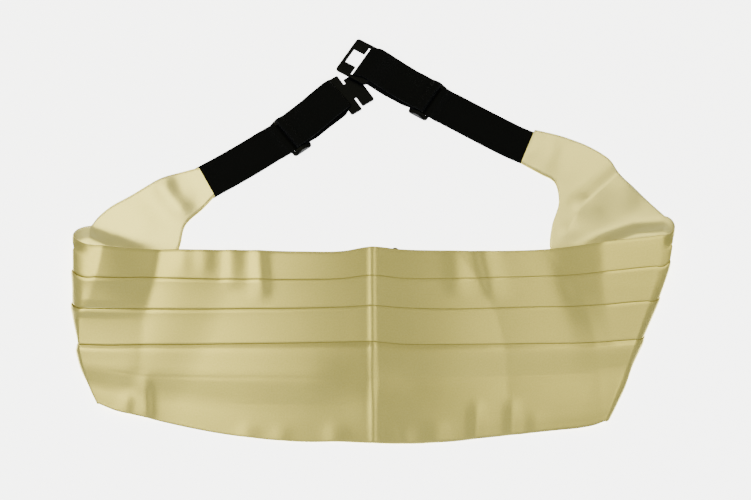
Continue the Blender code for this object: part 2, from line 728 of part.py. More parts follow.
def build_slide(strap, material):
    plan = Plan(strap.plan)
    along = plan.nearest(strap.slide_at)
    middle = plan.at(along)[0]
    heading = plan.heading(along)
    half = 0.5 * SLIDE_LENGTH
    lines = symmetric(half, half - SLIDE_OUTER_BAR, 0.5 * SLIDE_MIDDLE_BAR)
    slope = half - SLIDE_OUTER_BAR - 0.5 * SLIDE_MIDDLE_BAR

    def hump(place):
        return 1.0 - min(max((abs(place) - 0.5 * SLIDE_MIDDLE_BAR) / slope, 0.0), 1.0)

    def low(place):
        return SLIDE_MIDDLE_Z * hump(place)

    def high(place):
        return low(place) + mix(SLIDE_THICKNESS, SLIDE_MIDDLE_THICKNESS, hump(place))

    def is_solid(place, side):
        in_slot = 0.5 * SLIDE_MIDDLE_BAR < abs(place) < half - SLIDE_OUTER_BAR
        return side > 0.5 * SLIDE_SLOT or not in_slot

    slide = lattice_plate(f"slide_{strap.side}", lines,
                          symmetric(0.5 * SLIDE_WIDTH, 0.5 * SLIDE_SLOT),
                          is_solid, low, high, material, middle, heading)
    round_corners(slide, CORNER_RADIUS)
    return slide


def plate_heights(lift):
    bottom = LAYER + lift
    return (lambda place: bottom), (lambda place: bottom + PLATE_THICKNESS)


def build_hook(strap, material):
    """T-shaped hook: a slotted body for the webbing, a neck and a crossbar."""
    plan = Plan(strap.plan)
    place = plan.at(plan.length)[0]
    heading = plan.heading(plan.length)
    start = -0.5 * BAR
    slot_end = start + BAR + HOOK_SLOT_LENGTH
    body_end = start + HOOK_BODY_END
    crossbar = body_end + HOOK_NOTCH
    lines = [start, start + BAR, slot_end, body_end, crossbar, crossbar + HOOK_T_LENGTH]

    def is_solid(along, side):
        if along < body_end:
            in_slot = start + BAR < along < slot_end
            return side < 0.5 * HOOK_WIDTH and not (in_slot and side < 0.5 * PLATE_SLOT)
        if along < crossbar:
            return side < 0.5 * HOOK_NECK
        return side < 0.5 * HOOK_T_WIDTH

    low, high = plate_heights(strap.plate_lift)
    across = symmetric(0.5 * HOOK_WIDTH, 0.5 * PLATE_SLOT, 0.5 * HOOK_T_WIDTH,
                       0.5 * HOOK_NECK)
    hook = lattice_plate("hook_plate", lines, across, is_solid, low, high, material,
                         place, heading)
    round_corners(hook, HOOK_CORNER_RADIUS)
    return hook


def build_eye(strap, material):
    """Eye plate: one T-shaped hole, its long part round the webbing's bar."""
    plan = Plan(strap.plan)
    place = plan.at(plan.length)[0]
    heading = plan.heading(plan.length)
    start = -0.5 * BAR
    slot_end = start + BAR + EYE_SLOT_LENGTH
    window_end = slot_end + EYE_WINDOW_LENGTH
    lines = [start, start + BAR, slot_end, window_end, window_end + EYE_BORDER]

    def is_solid(along, side):
        if start + BAR < along < slot_end:
            return side > 0.5 * PLATE_SLOT
        if slot_end < along < window_end:
            return side > 0.5 * EYE_WINDOW_WIDTH
        return True

    low, high = plate_heights(strap.plate_lift)
    across = symmetric(0.5 * EYE_WIDTH, 0.5 * PLATE_SLOT, 0.5 * EYE_WINDOW_WIDTH)
    eye = lattice_plate("eye_plate", lines, across, is_solid, low, high, material,
                        place, heading)
    round_corners(eye, CORNER_RADIUS)
    return eye


def build_button_loop(material):
    """Thin cord loop lying under the top edge, its end showing past it."""
    top_y = min(FRONT, key=lambda row: abs(row.top_x - LOOP_X)).top_y
    center = Vector((LOOP_X, top_y + LOOP_REACH - LOOP_HALF_WIDTH, LOOP_Z))
    route = [center + Vector((LOOP_HALF_WIDTH, -LOOP_LENGTH, 0.0))]
    for step in range(LOOP_STEPS + 1):
        angle = math.pi * step / LOOP_STEPS
        route.append(center + Vector((math.cos(angle), math.sin(angle), 0.0))
                     * LOOP_HALF_WIDTH)
    route.append(center + Vector((-LOOP_HALF_WIDTH, -LOOP_LENGTH, 0.0)))
    rings = []
    for k, place in enumerate(route):
        before, after = route[max(k - 1, 0)], route[min(k + 1, len(route) - 1)]
        heading = (after - before).normalized()
        side = heading.cross(Vector((0.0, 0.0, 1.0)))
        ring = []
        for corner in range(LOOP_SIDES):
            angle = 2.0 * math.pi * corner / LOOP_SIDES
            ring.append(place + side * (math.cos(angle) * LOOP_RADIUS)
                        + Vector((0.0, 0.0, math.sin(angle) * LOOP_RADIUS)))
        rings.append(ring)
    return loft("button_loop", rings, material)


def main():
    clear_scene()
    satin = make_material("satin", SATIN_COLOR, 0.35)
    lining = make_material("lining", LINING_COLOR, 0.4)
    webbing = make_material("webbing", WEBBING_COLOR, 0.85)
    plastic = make_material("plastic", PLASTIC_COLOR, 0.35)

    band = Band()
    build_front(band, satin)
    build_lining(band, lining)
    for strap in (LEFT_STRAP, RIGHT_STRAP):
        build_strap(strap, webbing)
        build_slide(strap, plastic)
    build_hook(LEFT_STRAP, plastic)
    build_eye(RIGHT_STRAP, plastic)
    build_button_loop(webbing)


main()
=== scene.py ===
"""Pleated ivory satin cummerbund, laid down with its ends folded under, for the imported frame.

The cloth is drawn as thin closed shells lofted through sections across the band, in finer
steps than the solids, with rounded folds and creases.  The pieces' sizes are millimetres in
plan coordinates; those of the lights, the floor and the camera are metres.
"""
import math
from collections import namedtuple

import bmesh
import bpy
import numpy as np
from mathutils import Matrix, Vector


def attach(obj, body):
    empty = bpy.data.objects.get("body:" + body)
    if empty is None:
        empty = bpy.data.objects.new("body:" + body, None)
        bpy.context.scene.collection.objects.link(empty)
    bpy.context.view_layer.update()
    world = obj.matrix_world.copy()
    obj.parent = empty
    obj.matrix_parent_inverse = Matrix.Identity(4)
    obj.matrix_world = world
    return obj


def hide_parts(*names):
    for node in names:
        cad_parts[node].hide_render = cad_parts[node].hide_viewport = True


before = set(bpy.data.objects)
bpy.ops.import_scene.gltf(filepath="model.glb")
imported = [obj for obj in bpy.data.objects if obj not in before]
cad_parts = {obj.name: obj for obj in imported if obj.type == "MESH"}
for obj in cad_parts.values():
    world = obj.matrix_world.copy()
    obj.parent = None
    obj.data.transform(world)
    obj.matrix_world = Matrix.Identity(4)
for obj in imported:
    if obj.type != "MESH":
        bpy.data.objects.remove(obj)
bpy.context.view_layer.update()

MM = 0.001
PLAN_SHIFT = (0.20, -14.13, 0.0)

# ---------------- the band's measures
CLOTH = 0.42           # thickness of one layer
SEAM = 0.05            # from the middle surface to the cloth on either side
STRIP_ROOM = 0.05      # what a strip adds to that layer just above the next pleat
POCKET_GAP = 0.22      # inside a pleat, under its flap
FLOOR_GAP = 0.02
LAID_GAP = 0.20        # between a wing and the front that lies on it
BASE = SEAM + CLOTH
THIN = BASE + STRIP_ROOM
FLAP_UNDER = BASE + POCKET_GAP            # inside of a pleat's folded edge
FLAP = FLAP_UNDER + CLOTH                 # and its outside
LINING_FACE = SEAM + CLOTH
FRONT_LEVEL = LINING_FACE + FLOOR_GAP     # height of the middle surface in the front
WING_LEVEL = FLAP + FLOOR_GAP             # and in a wing, which lies on its pleats
ON_WING = WING_LEVEL + LINING_FACE + LAID_GAP

SECTION_STEP = 1.6     # largest distance between two sections
WING_MARGIN = 2.0      # how far past a wing's edge the front begins to come down
LEFT_RAMP = 50.0       # and how far it takes to do so
RIGHT_RAMP = 60.0

# A section across the band: its two ends in plan, the widths of its first three strips, how
# far it bows and how far its hem is lifted.
Section = namedtuple(
    "Section", "top_x top_y hem_x hem_y strip_1 strip_2 strip_3 bow rise", defaults=(0.0, 0.0))

# The front's y values and strip widths, how far both folds reach and how the left one bows
# were fitted by a program to edges read off the photo.
LEFT_WING = [Section(*row) for row in (
    (-122.2, 62.0, -110.0, 39.8, 6.4, 6.4, 6.4),
    (-131.5, 59.7, -117.5, 30.9, 7.8, 7.6, 8.0),
    (-148.4, 53.8, -128.8, 18.3, 9.5, 9.2, 10.2),
    (-168.1, 40.7, -132.7, -0.3, 12.4, 11.6, 13.2),
    (-180.2, 32.9, -147.2, -31.1, 16.8, 15.2, 17.2, 0.5),
    (-188.0, 25.4, -157.7, -67.1, 21.8, 19.6, 22.4, 2.2),
    (-193.0, 17.8, -175.5, -109.0, 26.6, 23.6, 27.6, 7.5),
)]
FRONT = [Section(*row) for row in (
    (-183.2, -0.7, -177.5, -110.3, 23.1, 20.2, 24.5, 10.0),
    (-167.8, -1.4, -165.4, -115.1, 22.1, 20.9, 25.0, 6.7),
    (-151.5, -1.1, -151.6, -118.0, 21.1, 22.2, 24.9, 3.7),
    (-134.8, -0.7, -135.4, -121.8, 21.8, 22.1, 24.8, 1.6),
    (-117.8, -0.7, -111.7, -127.0, 22.0, 21.7, 24.8, 0.5),
    (-84.4, -0.5, -80.0, -132.1, 22.1, 21.3, 24.8),
    (-50.8, -1.3, -47.2, -134.9, 21.4, 20.8, 24.6),
    (-22.0, -1.0, -20.8, -135.0, 20.9, 20.7, 24.8),
    (-2.3, 2.3, -1.6, -135.8, 21.8, 22.0, 25.6),
    (16.5, 0.3, 15.5, -136.3, 21.9, 21.4, 25.8),
    (50.1, -0.7, 45.3, -135.0, 21.2, 22.1, 25.1),
    (83.7, -1.3, 73.9, -131.8, 20.0, 22.1, 25.6),
    (114.0, -0.6, 98.2, -129.3, 20.3, 22.3, 26.0),
    (140.6, 1.6, 115.5, -127.5, 22.2, 22.9, 26.3, 0.8),
    (163.9, 4.5, 130.0, -126.1, 23.1, 24.6, 27.0, 2.2),
    (180.5, 6.4, 139.7, -124.3, 23.1, 25.3, 28.0, 3.4, 0.3),
    (192.5, 8.2, 146.0, -122.0, 24.0, 26.0, 28.5, 3.9, 0.6),
)]
RIGHT_WING = [Section(*row) for row in (
    (197.1, 25.2, 147.0, -118.0, 27.0, 28.0, 30.0, 5.2),
    (187.3, 35.8, 145.5, -66.0, 21.5, 22.2, 24.0, 1.5),
    (177.7, 46.7, 132.5, -25.0, 17.0, 17.4, 19.0, 0.3),
    (167.8, 58.1, 117.9, -1.2, 14.8, 15.0, 16.4),
    (162.1, 69.4, 119.6, 17.1, 13.0, 13.0, 14.2),
    (148.7, 79.3, 125.4, 36.6, 11.0, 10.6, 11.2),
    (138.9, 84.0, 123.5, 50.3, 9.0, 8.8, 9.0),
    (127.5, 88.4, 113.9, 57.4, 8.2, 8.0, 8.2),
    (111.6, 92.2, 100.6, 65.4, 6.8, 6.8, 6.8),
)]
# A fold: the direction it points in, how far its top leans back from that and, from the top
# to the hem, how much its sections bow and how far it reaches past its neighbours.
Fold = namedtuple("Fold", "out_x out_y lean bow reach")
LEAN_END = 0.3         # share of a section, from its top, over which the lean dies out
LEFT_FOLD = Fold(-0.978, -0.210, 0.14, (
    0.00, 0.15, 0.39, 0.71, 1.04, 1.25, 1.31, 1.14, 0.85, 0.47, 0.00), (
    15.2, 13.4, 11.4, 9.0, 6.7, 3.9, 1.0, 0.9, 0.9, 0.9, 0.9))
RIGHT_FOLD = Fold(0.937, -0.350, 0.18, (
    0.0, 0.53, 0.81, 0.96, 1.0, 0.95, 0.87, 0.72, 0.5, 0.26, 0.0), (
    7.9, 7.0, 7.1, 6.4, 5.7, 4.7, 3.7, 3.4, 3.5, 2.6, 2.1))
FOLD_STEPS = 22
PRESSED_SHARE = 0.6    # part of the turn over which the pleats stop lying pressed

# The loop of the left fold lifts the front in a flat slope.  For each y: where its foot
# lies, and how steep it is.
LEFT_SLOPE = (
    (-125.0, -148.0, 0.04), (-105.0, -150.0, 0.05), (-94.0, -152.0, 0.06),
    (-68.4, -152.7, 0.08), (-52.0, -152.0, 0.10), (-40.0, -149.9, 0.155),
    (-21.7, -146.6, 0.175), (-1.4, -144.9, 0.19), (12.0, -144.0, 0.19))
LEFT_EASING = (-180.0, 5.0, 0.3)    # where the slope eases off, how softly, by what share
# On the right a slope runs up to a level stretch: for each y its foot, its top, its height.
RIGHT_SLOPE = (
    (-125.0, 131.0, 157.0, 0.1), (-100.0, 131.0, 157.0, 0.3), (-86.6, 130.0, 156.5, 0.7),
    (-69.2, 129.1, 155.5, 1.4), (-51.6, 126.8, 154.0, 2.5), (-30.0, 122.0, 152.4, 3.6),
    (0.0, 117.6, 152.8, 4.2), (12.0, 116.5, 152.0, 4.2))
LEFT_FOOT_SOFTNESS, RIGHT_FOOT_SOFTNESS, RIGHT_TOP_SOFTNESS = 0.9, 3.0, 1.2

# Creases: a line's two ends, its height, how wide it is on either side of the line, and how
# much of it comes to a pressed edge instead of a round one.  Both its ends fade out.
CREASE_FADE = 16.0
CREASE_FADE_SHARE = 0.45    # the largest part of its length that one fade takes
CREASE_EDGE = 1.6           # how fast a pressed edge falls away
Crease = namedtuple("Crease", "x0 y0 x1 y1 height left right sharp", defaults=(0.0,))
WING_CREASES = [Crease(*row) for row in (
    (-155.0, 56.0, -124.0, 19.0, 1.15, 7.5, 8.0, 0.05),
    (-172.0, 40.0, -150.0, 4.0, 0.35, 12.0, 10.0),
    (-150.0, 66.0, -138.0, 36.0, 0.4, 6.0, 7.0),
    (-134.0, 60.0, -122.0, 32.0, 0.3, 7.0, 7.0),
    (178.0, 67.0, 134.0, 26.0, 1.6, 15.0, 7.5, 0.3),
    (147.0, 42.0, 124.0, 3.0, 1.0, 15.0, 7.0, 0.3),
    (133.0, 22.0, 126.0, -8.0, 0.7, 12.0, 6.0, 0.2),
    (134.0, 88.0, 127.0, 46.0, 0.5, 13.0, 10.0),
    (168.0, 56.0, 176.0, 26.0, 0.5, 9.0, 9.0),
    (120.0, 86.0, 106.0, 66.0, 0.4, 7.0, 6.0),
    # The wings' ends swell over the straps sewn into them.
    (-128.3, 74.0, -103.5, 28.0, 0.9, 4.0, 7.0),
    (119.0, 102.0, 92.0, 54.0, 0.9, 7.0, 4.0),
)]
# Beside the front's top edge a wing rises towards the loop of its fold: where the rise
# starts, where it is whole, below the front, and how steep it is.
RISE_STARTS = ((-230.0, 20.0), (-196.0, 17.0), (-180.0, 11.0), (-147.0, 3.0), (-120.0, -4.0),
               (110.0, -4.0), (137.0, 5.0), (176.0, 18.5), (205.0, 20.5), (230.0, 21.0))
RISE_WHOLE = ((-230.0, 0.0), (-130.0, -3.0), (130.0, -3.0), (165.0, 3.5), (195.0, 7.0))
RISE_STEEPNESS = ((-200.0, 0.46), (-176.0, 0.40), (-150.0, 0.14), (-135.0, 0.0),
                  (125.0, 0.0), (142.0, 0.25), (158.0, 0.46), (200.0, 0.46))
RISE_SOFTNESS = 1.8
RISE_LIMIT = 4.1
RISE_GONE = -55.0      # the y at which no rise is left
FRONT_CREASES = [Crease(*row) for row in (
    (-2.6, 22.0, -1.5, -152.0, 0.3, 1.6, 1.6),
    # Lines pressed along the last strip.
    (-176.0, -88.0, -148.0, -91.8, -0.10, 0.8, 0.8, 0.4),
    (-160.0, -91.5, 8.0, -93.3, -0.10, 0.8, 0.8, 0.4),
    (-12.0, -93.5, 148.0, -89.0, -0.14, 0.8, 0.8, 0.4),
    (-98.0, -109.5, -4.0, -110.5, -0.06, 0.8, 0.8, 0.4),
    (0.0, -110.5, 61.0, -109.5, -0.06, 0.8, 0.8, 0.4),
    # Soft marks in the first strips.
    (-131.0, 12.0, -130.0, -26.0, 0.4, 8.0, 8.0),
    (-115.5, 12.0, -114.5, -26.0, 0.35, 6.0, 6.0),
    (-97.0, 14.0, -96.0, -34.0, 0.6, 9.0, 5.0),
    (-80.0, 14.0, -75.0, -42.0, 0.65, 5.0, 6.0),
    (54.0, 14.0, 55.0, -40.0, 0.35, 8.0, 7.0),
    (69.5, 14.0, 80.0, -42.0, 0.42, 8.0, 5.0),
    # Puckers along the hem.
    (-158.0, -98.0, -161.0, -125.0, 0.6, 5.0, 6.0),
    (-150.5, -86.0, -146.0, -130.0, 0.9, 5.0, 6.0),
    (-81.0, -118.0, -84.0, -146.0, 0.3, 7.0, 6.0),
    (-61.0, -120.0, -60.0, -147.0, 0.25, 6.0, 6.0),
    (-27.0, -118.0, -25.0, -148.0, 0.35, 9.0, 6.0),
    (17.0, -120.0, 19.0, -148.0, 0.3, 7.0, 6.0),
    (41.0, -117.0, 37.0, -148.0, 0.35, 7.0, 9.0),
    (66.0, -104.0, 63.5, -148.0, 0.45, 4.0, 5.0),
    (88.5, -102.0, 86.0, -146.0, 0.45, 4.0, 5.0),
    (104.0, -110.0, 101.0, -142.0, 0.3, 7.0, 6.0),
)]


def mix(a, b, share):
    return a + (b - a) * share


def ease(share):
    share = np.clip(share, 0.0, 1.0)
    return share * share * (3.0 - 2.0 * share)


def hermite(a, b, slope_a, slope_b, u):
    return (a * (1 + 2 * u) * (1 - u) ** 2 + slope_a * u * (1 - u) ** 2
            + b * u * u * (3 - 2 * u) + slope_b * u * u * (u - 1))


def smooth_rows(rows):
    """Rows on a cubic through the given rows, spaced by the middle of each section."""
    table = np.array(rows, float)
    middles = 0.5 * (table[:, 0:2] + table[:, 2:4])
    spans = np.linalg.norm(np.diff(middles, axis=0), axis=1)
    chords = np.diff(table, axis=0) / spans[:, None]
    slopes = np.empty_like(table)
    slopes[0], slopes[-1] = chords[0], chords[-1]
    before, after = spans[:-1, None], spans[1:, None]
    slopes[1:-1] = (after * chords[:-1] + before * chords[1:]) / (before + after)
    dense = []
    for index, span in enumerate(spans):
        steps = max(1, math.ceil(span / SECTION_STEP))
        u = (np.arange(steps) / steps)[:, None]
        dense.append(hermite(table[index], table[index + 1], slopes[index] * span,
                             slopes[index + 1] * span, u))
    dense.append(table[-1:])
    return np.concatenate(dense)


LEFT_ROWS, FRONT_ROWS, RIGHT_ROWS = map(smooth_rows, (LEFT_WING, FRONT, RIGHT_WING))
TOP_X, TOP_Y, HEM_X, HEM_Y, STRIP_1, STRIP_2, STRIP_3, BOW, RISE = range(9)


def smooth_values(values, t):
    """Values given at equal steps from 0 to 1, read on a cubic between them."""
    values = np.array(values, float)
    place = t * (len(values) - 1)
    index = np.minimum(place.astype(int), len(values) - 2)
    u = place - index
    slope = np.gradient(values)
    return hermite(values[index], values[index + 1], slope[index], slope[index + 1], u)


def hidden_edge(rows):
    """The hem of a wing where the front lies on it, as y and x."""
    hidden = rows[rows[:, HEM_Y] <= 0.0]
    order = np.argsort(hidden[:, HEM_Y])
    return hidden[order, HEM_Y], hidden[order, HEM_X]


LEFT_EDGE = hidden_edge(LEFT_ROWS)
RIGHT_EDGE = hidden_edge(RIGHT_ROWS)


def on_wing(x, y):
    """How much of the wing's thickness the front has under it, 0 to 1."""
    past_left = x - np.interp(y, *LEFT_EDGE) - WING_MARGIN
    past_right = np.interp(y, *RIGHT_EDGE) - x - WING_MARGIN
    left = 1.0 - ease(past_left / LEFT_RAMP)
    right = 1.0 - np.clip(past_right / RIGHT_RAMP, 0.0, 1.0)
    return np.maximum(left, right)


def softplus(distance, softness):
    """Zero before the line and the distance past it, bent over a short stretch."""
    return softness * np.logaddexp(0.0, distance / softness)


def slopes(x, y):
    """How far the loops of the two folds lift the front."""
    table = np.array(LEFT_SLOPE)
    foot, steep = (np.interp(y, table[:, 0], table[:, k]) for k in (1, 2))
    eased_at, softness, share = LEFT_EASING
    height = steep * (softplus(foot - x, LEFT_FOOT_SOFTNESS)
                      - share * softplus(eased_at - x, softness))
    table = np.array(RIGHT_SLOPE)
    foot, top, rise = (np.interp(y, table[:, 0], table[:, k]) for k in (1, 2, 3))
    ramp = softplus(x - foot, RIGHT_FOOT_SOFTNESS) - softplus(x - top, RIGHT_TOP_SOFTNESS)
    return height + rise * ramp / (top - foot)


def creases(x, y, lines):
    """Summed height of the creases at these places."""
    height = np.zeros_like(x)
    for line in lines:
        along_x, along_y = line.x1 - line.x0, line.y1 - line.y0
        length = math.hypot(along_x, along_y)
        along_x, along_y = along_x / length, along_y / length
        place = (x - line.x0) * along_x + (y - line.y0) * along_y
        side = -(x - line.x0) * along_y + (y - line.y0) * along_x
        width = np.where(side > 0.0, line.left, line.right)
        fade = min(CREASE_FADE_SHARE * length, CREASE_FADE)
        round_off = ease(place / fade) * ease((length - place) / fade)
        across = np.abs(side) / width
        soft = np.exp(-across ** 2)
        edge = np.exp(-CREASE_EDGE * across)
        height += line.height * round_off * mix(soft, edge, line.sharp)
    return height


def plan_points(row, fold, t):
    bow = row[BOW] * smooth_values(fold.bow, t)
    x = mix(row[TOP_X], row[HEM_X], t) + bow * fold.out_x
    y = mix(row[TOP_Y], row[HEM_Y], t) + bow * fold.out_y
    return x, y


def front_points(row, fold, t):
    x, y = plan_points(row, fold, t)
    rise = np.maximum(row[RISE] * t, 0.0)
    z = FRONT_LEVEL + ON_WING * on_wing(x, y) + rise + slopes(x, y)
    z += creases(x, y, FRONT_CREASES)
    return np.stack([x, y, z], axis=1)


def wing_rise(x, y):
    """How far a wing rises into the loop of its fold, beside the front's top edge."""
    start, whole = np.interp(x, *zip(*RISE_STARTS)), np.interp(x, *zip(*RISE_WHOLE))
    below = softplus(start - y, RISE_SOFTNESS) - softplus(whole - y, RISE_SOFTNESS)
    steepness = np.interp(x, *zip(*RISE_STEEPNESS))
    rise = np.minimum(steepness * np.maximum(below, 0.0), RISE_LIMIT)
    return rise * ease((y - RISE_GONE) / -RISE_GONE)


def wing_points(row, fold, t):
    x, y = plan_points(row, fold, t)
    z = WING_LEVEL + creases(x, y, WING_CREASES) + wing_rise(x, y)
    return np.stack([x, y, z], axis=1)


ACROSS = np.linspace(0.0, 1.0, 201)


class Band:
    """Middle surface: one line of points for each section, with its outward normals."""

    def __init__(self):
        self.rows, self.lines, self.pressed = [], [], []
        self.add_wing(LEFT_ROWS, LEFT_FOLD)
        self.add_fold(LEFT_ROWS[-1], FRONT_ROWS[0], LEFT_FOLD, to_front=True)
        for row in FRONT_ROWS:
            fold = LEFT_FOLD if row[TOP_X] < 0.0 else RIGHT_FOLD
            self.add(row, front_points(row, fold, ACROSS), 0.0)
        self.add_fold(FRONT_ROWS[-1], RIGHT_ROWS[0], RIGHT_FOLD, to_front=False)
        self.add_wing(RIGHT_ROWS, RIGHT_FOLD)
        self.lines, self.rows = np.array(self.lines), np.array(self.rows)
        across = np.gradient(self.lines, axis=1)
        along = np.gradient(self.lines, axis=0)
        normals = np.cross(across, along)
        self.normals = normals / np.linalg.norm(normals, axis=2, keepdims=True)
        self.lengths = np.hypot(self.rows[:, TOP_X] - self.rows[:, HEM_X],
                                self.rows[:, TOP_Y] - self.rows[:, HEM_Y])
        steps = np.linalg.norm(np.diff(self.lines[:, len(ACROSS) // 2], axis=0), axis=1)
        self.along = np.concatenate([[0.0], np.cumsum(steps)])

    def add(self, row, line, pressed):
        for kept, new in ((self.rows, row), (self.lines, line), (self.pressed, pressed)):
            kept.append(new)

    def add_wing(self, rows, fold):
        for row in rows:
            self.add(row, wing_points(row, fold, ACROSS), 1.0)

    def add_fold(self, before, after, fold, to_front):
        start = (wing_points if to_front else front_points)(before, fold, ACROSS)
        finish = (front_points if to_front else wing_points)(after, fold, ACROSS)
        out = np.array([fold.out_x, fold.out_y, 0.0])
        reach = smooth_values(fold.reach, ACROSS)
        lean = fold.lean * np.clip(1.0 - ACROSS / LEAN_END, 0.0, 1.0) ** 2
        aim = out + lean[:, None] * np.array([0.0, 1.0, 0.0])
        for step in range(1, FOLD_STEPS):
            angle = math.pi * step / FOLD_STEPS
            share = 0.5 * (1.0 - math.cos(angle))
            line = mix(start, finish, share) + aim * (reach * math.sin(angle))[:, None]
            turned = step / FOLD_STEPS
            off_table = turned if to_front else 1.0 - turned
            pressed = float(1.0 - ease(off_table / PRESSED_SHARE))
            self.add(mix(before, after, share), line, pressed)

    def offset(self, index, t, distance):
        """Points of a section's line at t, moved out along the normal."""
        line, normal = self.lines[index], self.normals[index]
        point = np.stack([np.interp(t, ACROSS, line[:, k]) for k in range(3)], axis=1)
        out = np.stack([np.interp(t, ACROSS, normal[:, k]) for k in range(3)], axis=1)
        out /= np.linalg.norm(out, axis=1, keepdims=True)
        return point + out * distance[:, None]


def spread(first, last, count):
    """Equal steps from the first place, which is left out, to the last."""
    return np.linspace(first, last, count + 1)[1:]


OUTER_COUNTS = (18, 18, 20, 52)    # points across each strip
INNER_COUNT = 34                   # and across the back
# A long edge rounds off: how far in from it, and how far below the cloth's outside at first.
EDGE_STEPS, EDGE_BELOW = (0.08, 0.3, 0.8), (0.16, 0.03)
BACK_STEPS, BACK_RISE = (0.1, 0.4), 0.08
STRIP_START, STRIP_END = 0.9, 0.95    # from a strip to the folded edges above and below it
POCKET_DEPTH, POCKET_MOUTH = 7.0, 0.3
POCKET_SHARE = 0.4                 # the largest part of a strip that a pocket takes
NOSE_STEPS = 6
# How far a pleat's folded edge stands off the strip above it, along the band.
OPEN_X = (-185.0, -130.0, -60.0, 0.0, 200.0)
OPEN_BY = (0.9, 0.6, 0.4, 0.25, 0.2)
OPEN_REACH = 6.0
# How a strip comes down from its folded edge: shares of its width and of the fall that is
# left.  The last strip falls late on the left of the middle crease and early on the right.
EVEN_FALL = ((0.0, 1.0), (1.0, 0.0))
LATE_FALL = ((0.0, 1.0), (0.36, 0.9), (0.66, 0.15), (0.85, 0.1), (1.0, 0.0))
EARLY_FALL = ((0.0, 1.0), (0.37, 0.0), (0.66, 0.5), (0.9, 0.35), (1.0, 0.0))
LAST_FALL_BY, LAST_FALL_FADE = 1.4, 30.0
LATE_FROM, LATE_LENGTH = -45.0, 75.0    # the x at which a late fall turns into an early one
FALL_BLUR = (-0.06, 0.0, 0.06)
# How far a strip drops before the next folded edge, for each OPEN_X, and in which steps:
# their distances to that edge and the share of the drop that is left.
DROP = (0.5, 0.45, 0.34, 0.22, 0.22)
DROP_STEPS = ((0.7, 0.85), (0.5, 0.6), (0.3, 0.3), (0.1, 0.0))


def fall_left(shape, share):
    """The share of its fall that a strip has left there, with its corners blurred."""
    places, left = zip(*shape)
    return sum(np.interp(share + shift, places, left) for shift in FALL_BLUR) / len(FALL_BLUR)


def cloth_outline(row, length, pressed):
    """Places from top to hem and back, in millimetres across, with their distances."""
    low = mix(THIN, FLAP, pressed)
    middle_x = 0.5 * (row[TOP_X] + row[HEM_X])
    opened = float(np.interp(middle_x, OPEN_X, OPEN_BY)) * (1.0 - pressed)
    late = float(1.0 - ease((middle_x - LATE_FROM) / LATE_LENGTH))
    edges = np.cumsum(row[[STRIP_1, STRIP_2, STRIP_3]])
    rim = [0.5 * (SEAM + low), *(low - below for below in EDGE_BELOW)]
    across, out = [0.0, *EDGE_STEPS], [*rim, low]
    starts = [EDGE_STEPS[-1], *(edges + STRIP_START)]
    ends = [*(edges - STRIP_END), length - EDGE_STEPS[-1]]
    raised = float(np.interp(middle_x, OPEN_X, DROP)) * (1.0 - pressed)
    tops = [low, FLAP, FLAP, FLAP]
    for strip in range(4):
        places = spread(starts[strip], ends[strip], OUTER_COUNTS[strip])
        share = (places - starts[strip]) / (ends[strip] - starts[strip])
        left_share = fall_left(EVEN_FALL, share)
        above = (tops[strip] - low) * left_share
        if strip == 3:
            left_share = mix(fall_left(EARLY_FALL, share), fall_left(LATE_FALL, share), late)
            above = (FLAP - low + LAST_FALL_BY * (1.0 - pressed)) * left_share
            above -= LAST_FALL_BY * (1.0 - pressed) * np.exp(-share * LAST_FALL_FADE)
        if strip > 0:
            above += opened * np.exp(-(places - starts[strip]) / OPEN_REACH)
        if strip < 3:
            above += raised
        across += list(places)
        out += list(low + above)
        if strip == 3:
            break
        edge = edges[strip]
        below = edges[strip + 1] if strip < 2 else length
        depth = min(POCKET_DEPTH, POCKET_SHARE * (below - edge))
        middle, half = 0.5 * (FLAP_UNDER + FLAP), 0.5 * CLOTH
        across += [edge - step for step, _ in DROP_STEPS]
        out += [low + left * raised for _, left in DROP_STEPS]
        across += [edge + POCKET_MOUTH, edge + depth, edge + depth]
        out += [BASE, BASE, FLAP_UNDER]
        for turn in range(NOSE_STEPS + 1):
            angle = math.pi * turn / NOSE_STEPS
            across.append(edge + half - half * math.sin(angle))
            out.append(middle + opened - half * math.cos(angle))
    across += [length - EDGE_STEPS[1], length - EDGE_STEPS[0], length]
    across += [length - step for step in BACK_STEPS]
    out += [*reversed(rim), SEAM + BACK_RISE, SEAM]
    back = spread(length - BACK_STEPS[1], BACK_STEPS[1], INNER_COUNT)
    across += [*back, BACK_STEPS[0]]
    out += [SEAM] * len(back) + [SEAM + BACK_RISE]
    return np.array(across), np.array(out)


LINING_COUNT = 54
# How far the lining is set in from the band's edges, how far its face begins from its own
# edge, and the corner between them: in from that edge, up from the face, and how thick.
LINING_INSET, LINING_START = 1.1, 0.9
LINING_CORNER, LINING_CORNER_RISE, LINING_EDGE = 0.15, 0.12, 0.15


def lining_outline(_row, length, _pressed):
    """The lining, set in a little from both edges, its face to the table side first."""
    inset, face = LINING_INSET, -LINING_FACE
    places = spread(inset + LINING_START, length - inset - LINING_START, LINING_COUNT)
    across = [inset, inset + LINING_CORNER, inset + LINING_START, *places]
    rim = [-SEAM - LINING_EDGE, face + LINING_CORNER_RISE]
    out = [*rim, face] + [face] * len(places)
    across += [length - inset - LINING_CORNER, length - inset]
    out += reversed(rim)
    back = spread(length - inset, inset, INNER_COUNT)[:-1]
    across += list(back)
    out += [-SEAM] * len(back)
    return np.array(across), np.array(out)


SHARP_ANGLE, PLATE_SHARP_ANGLE = math.radians(50.0), math.radians(35.0)


def link_object(name, data):
    made = bpy.data.objects.new(name, data)
    bpy.context.collection.objects.link(made)
    return made


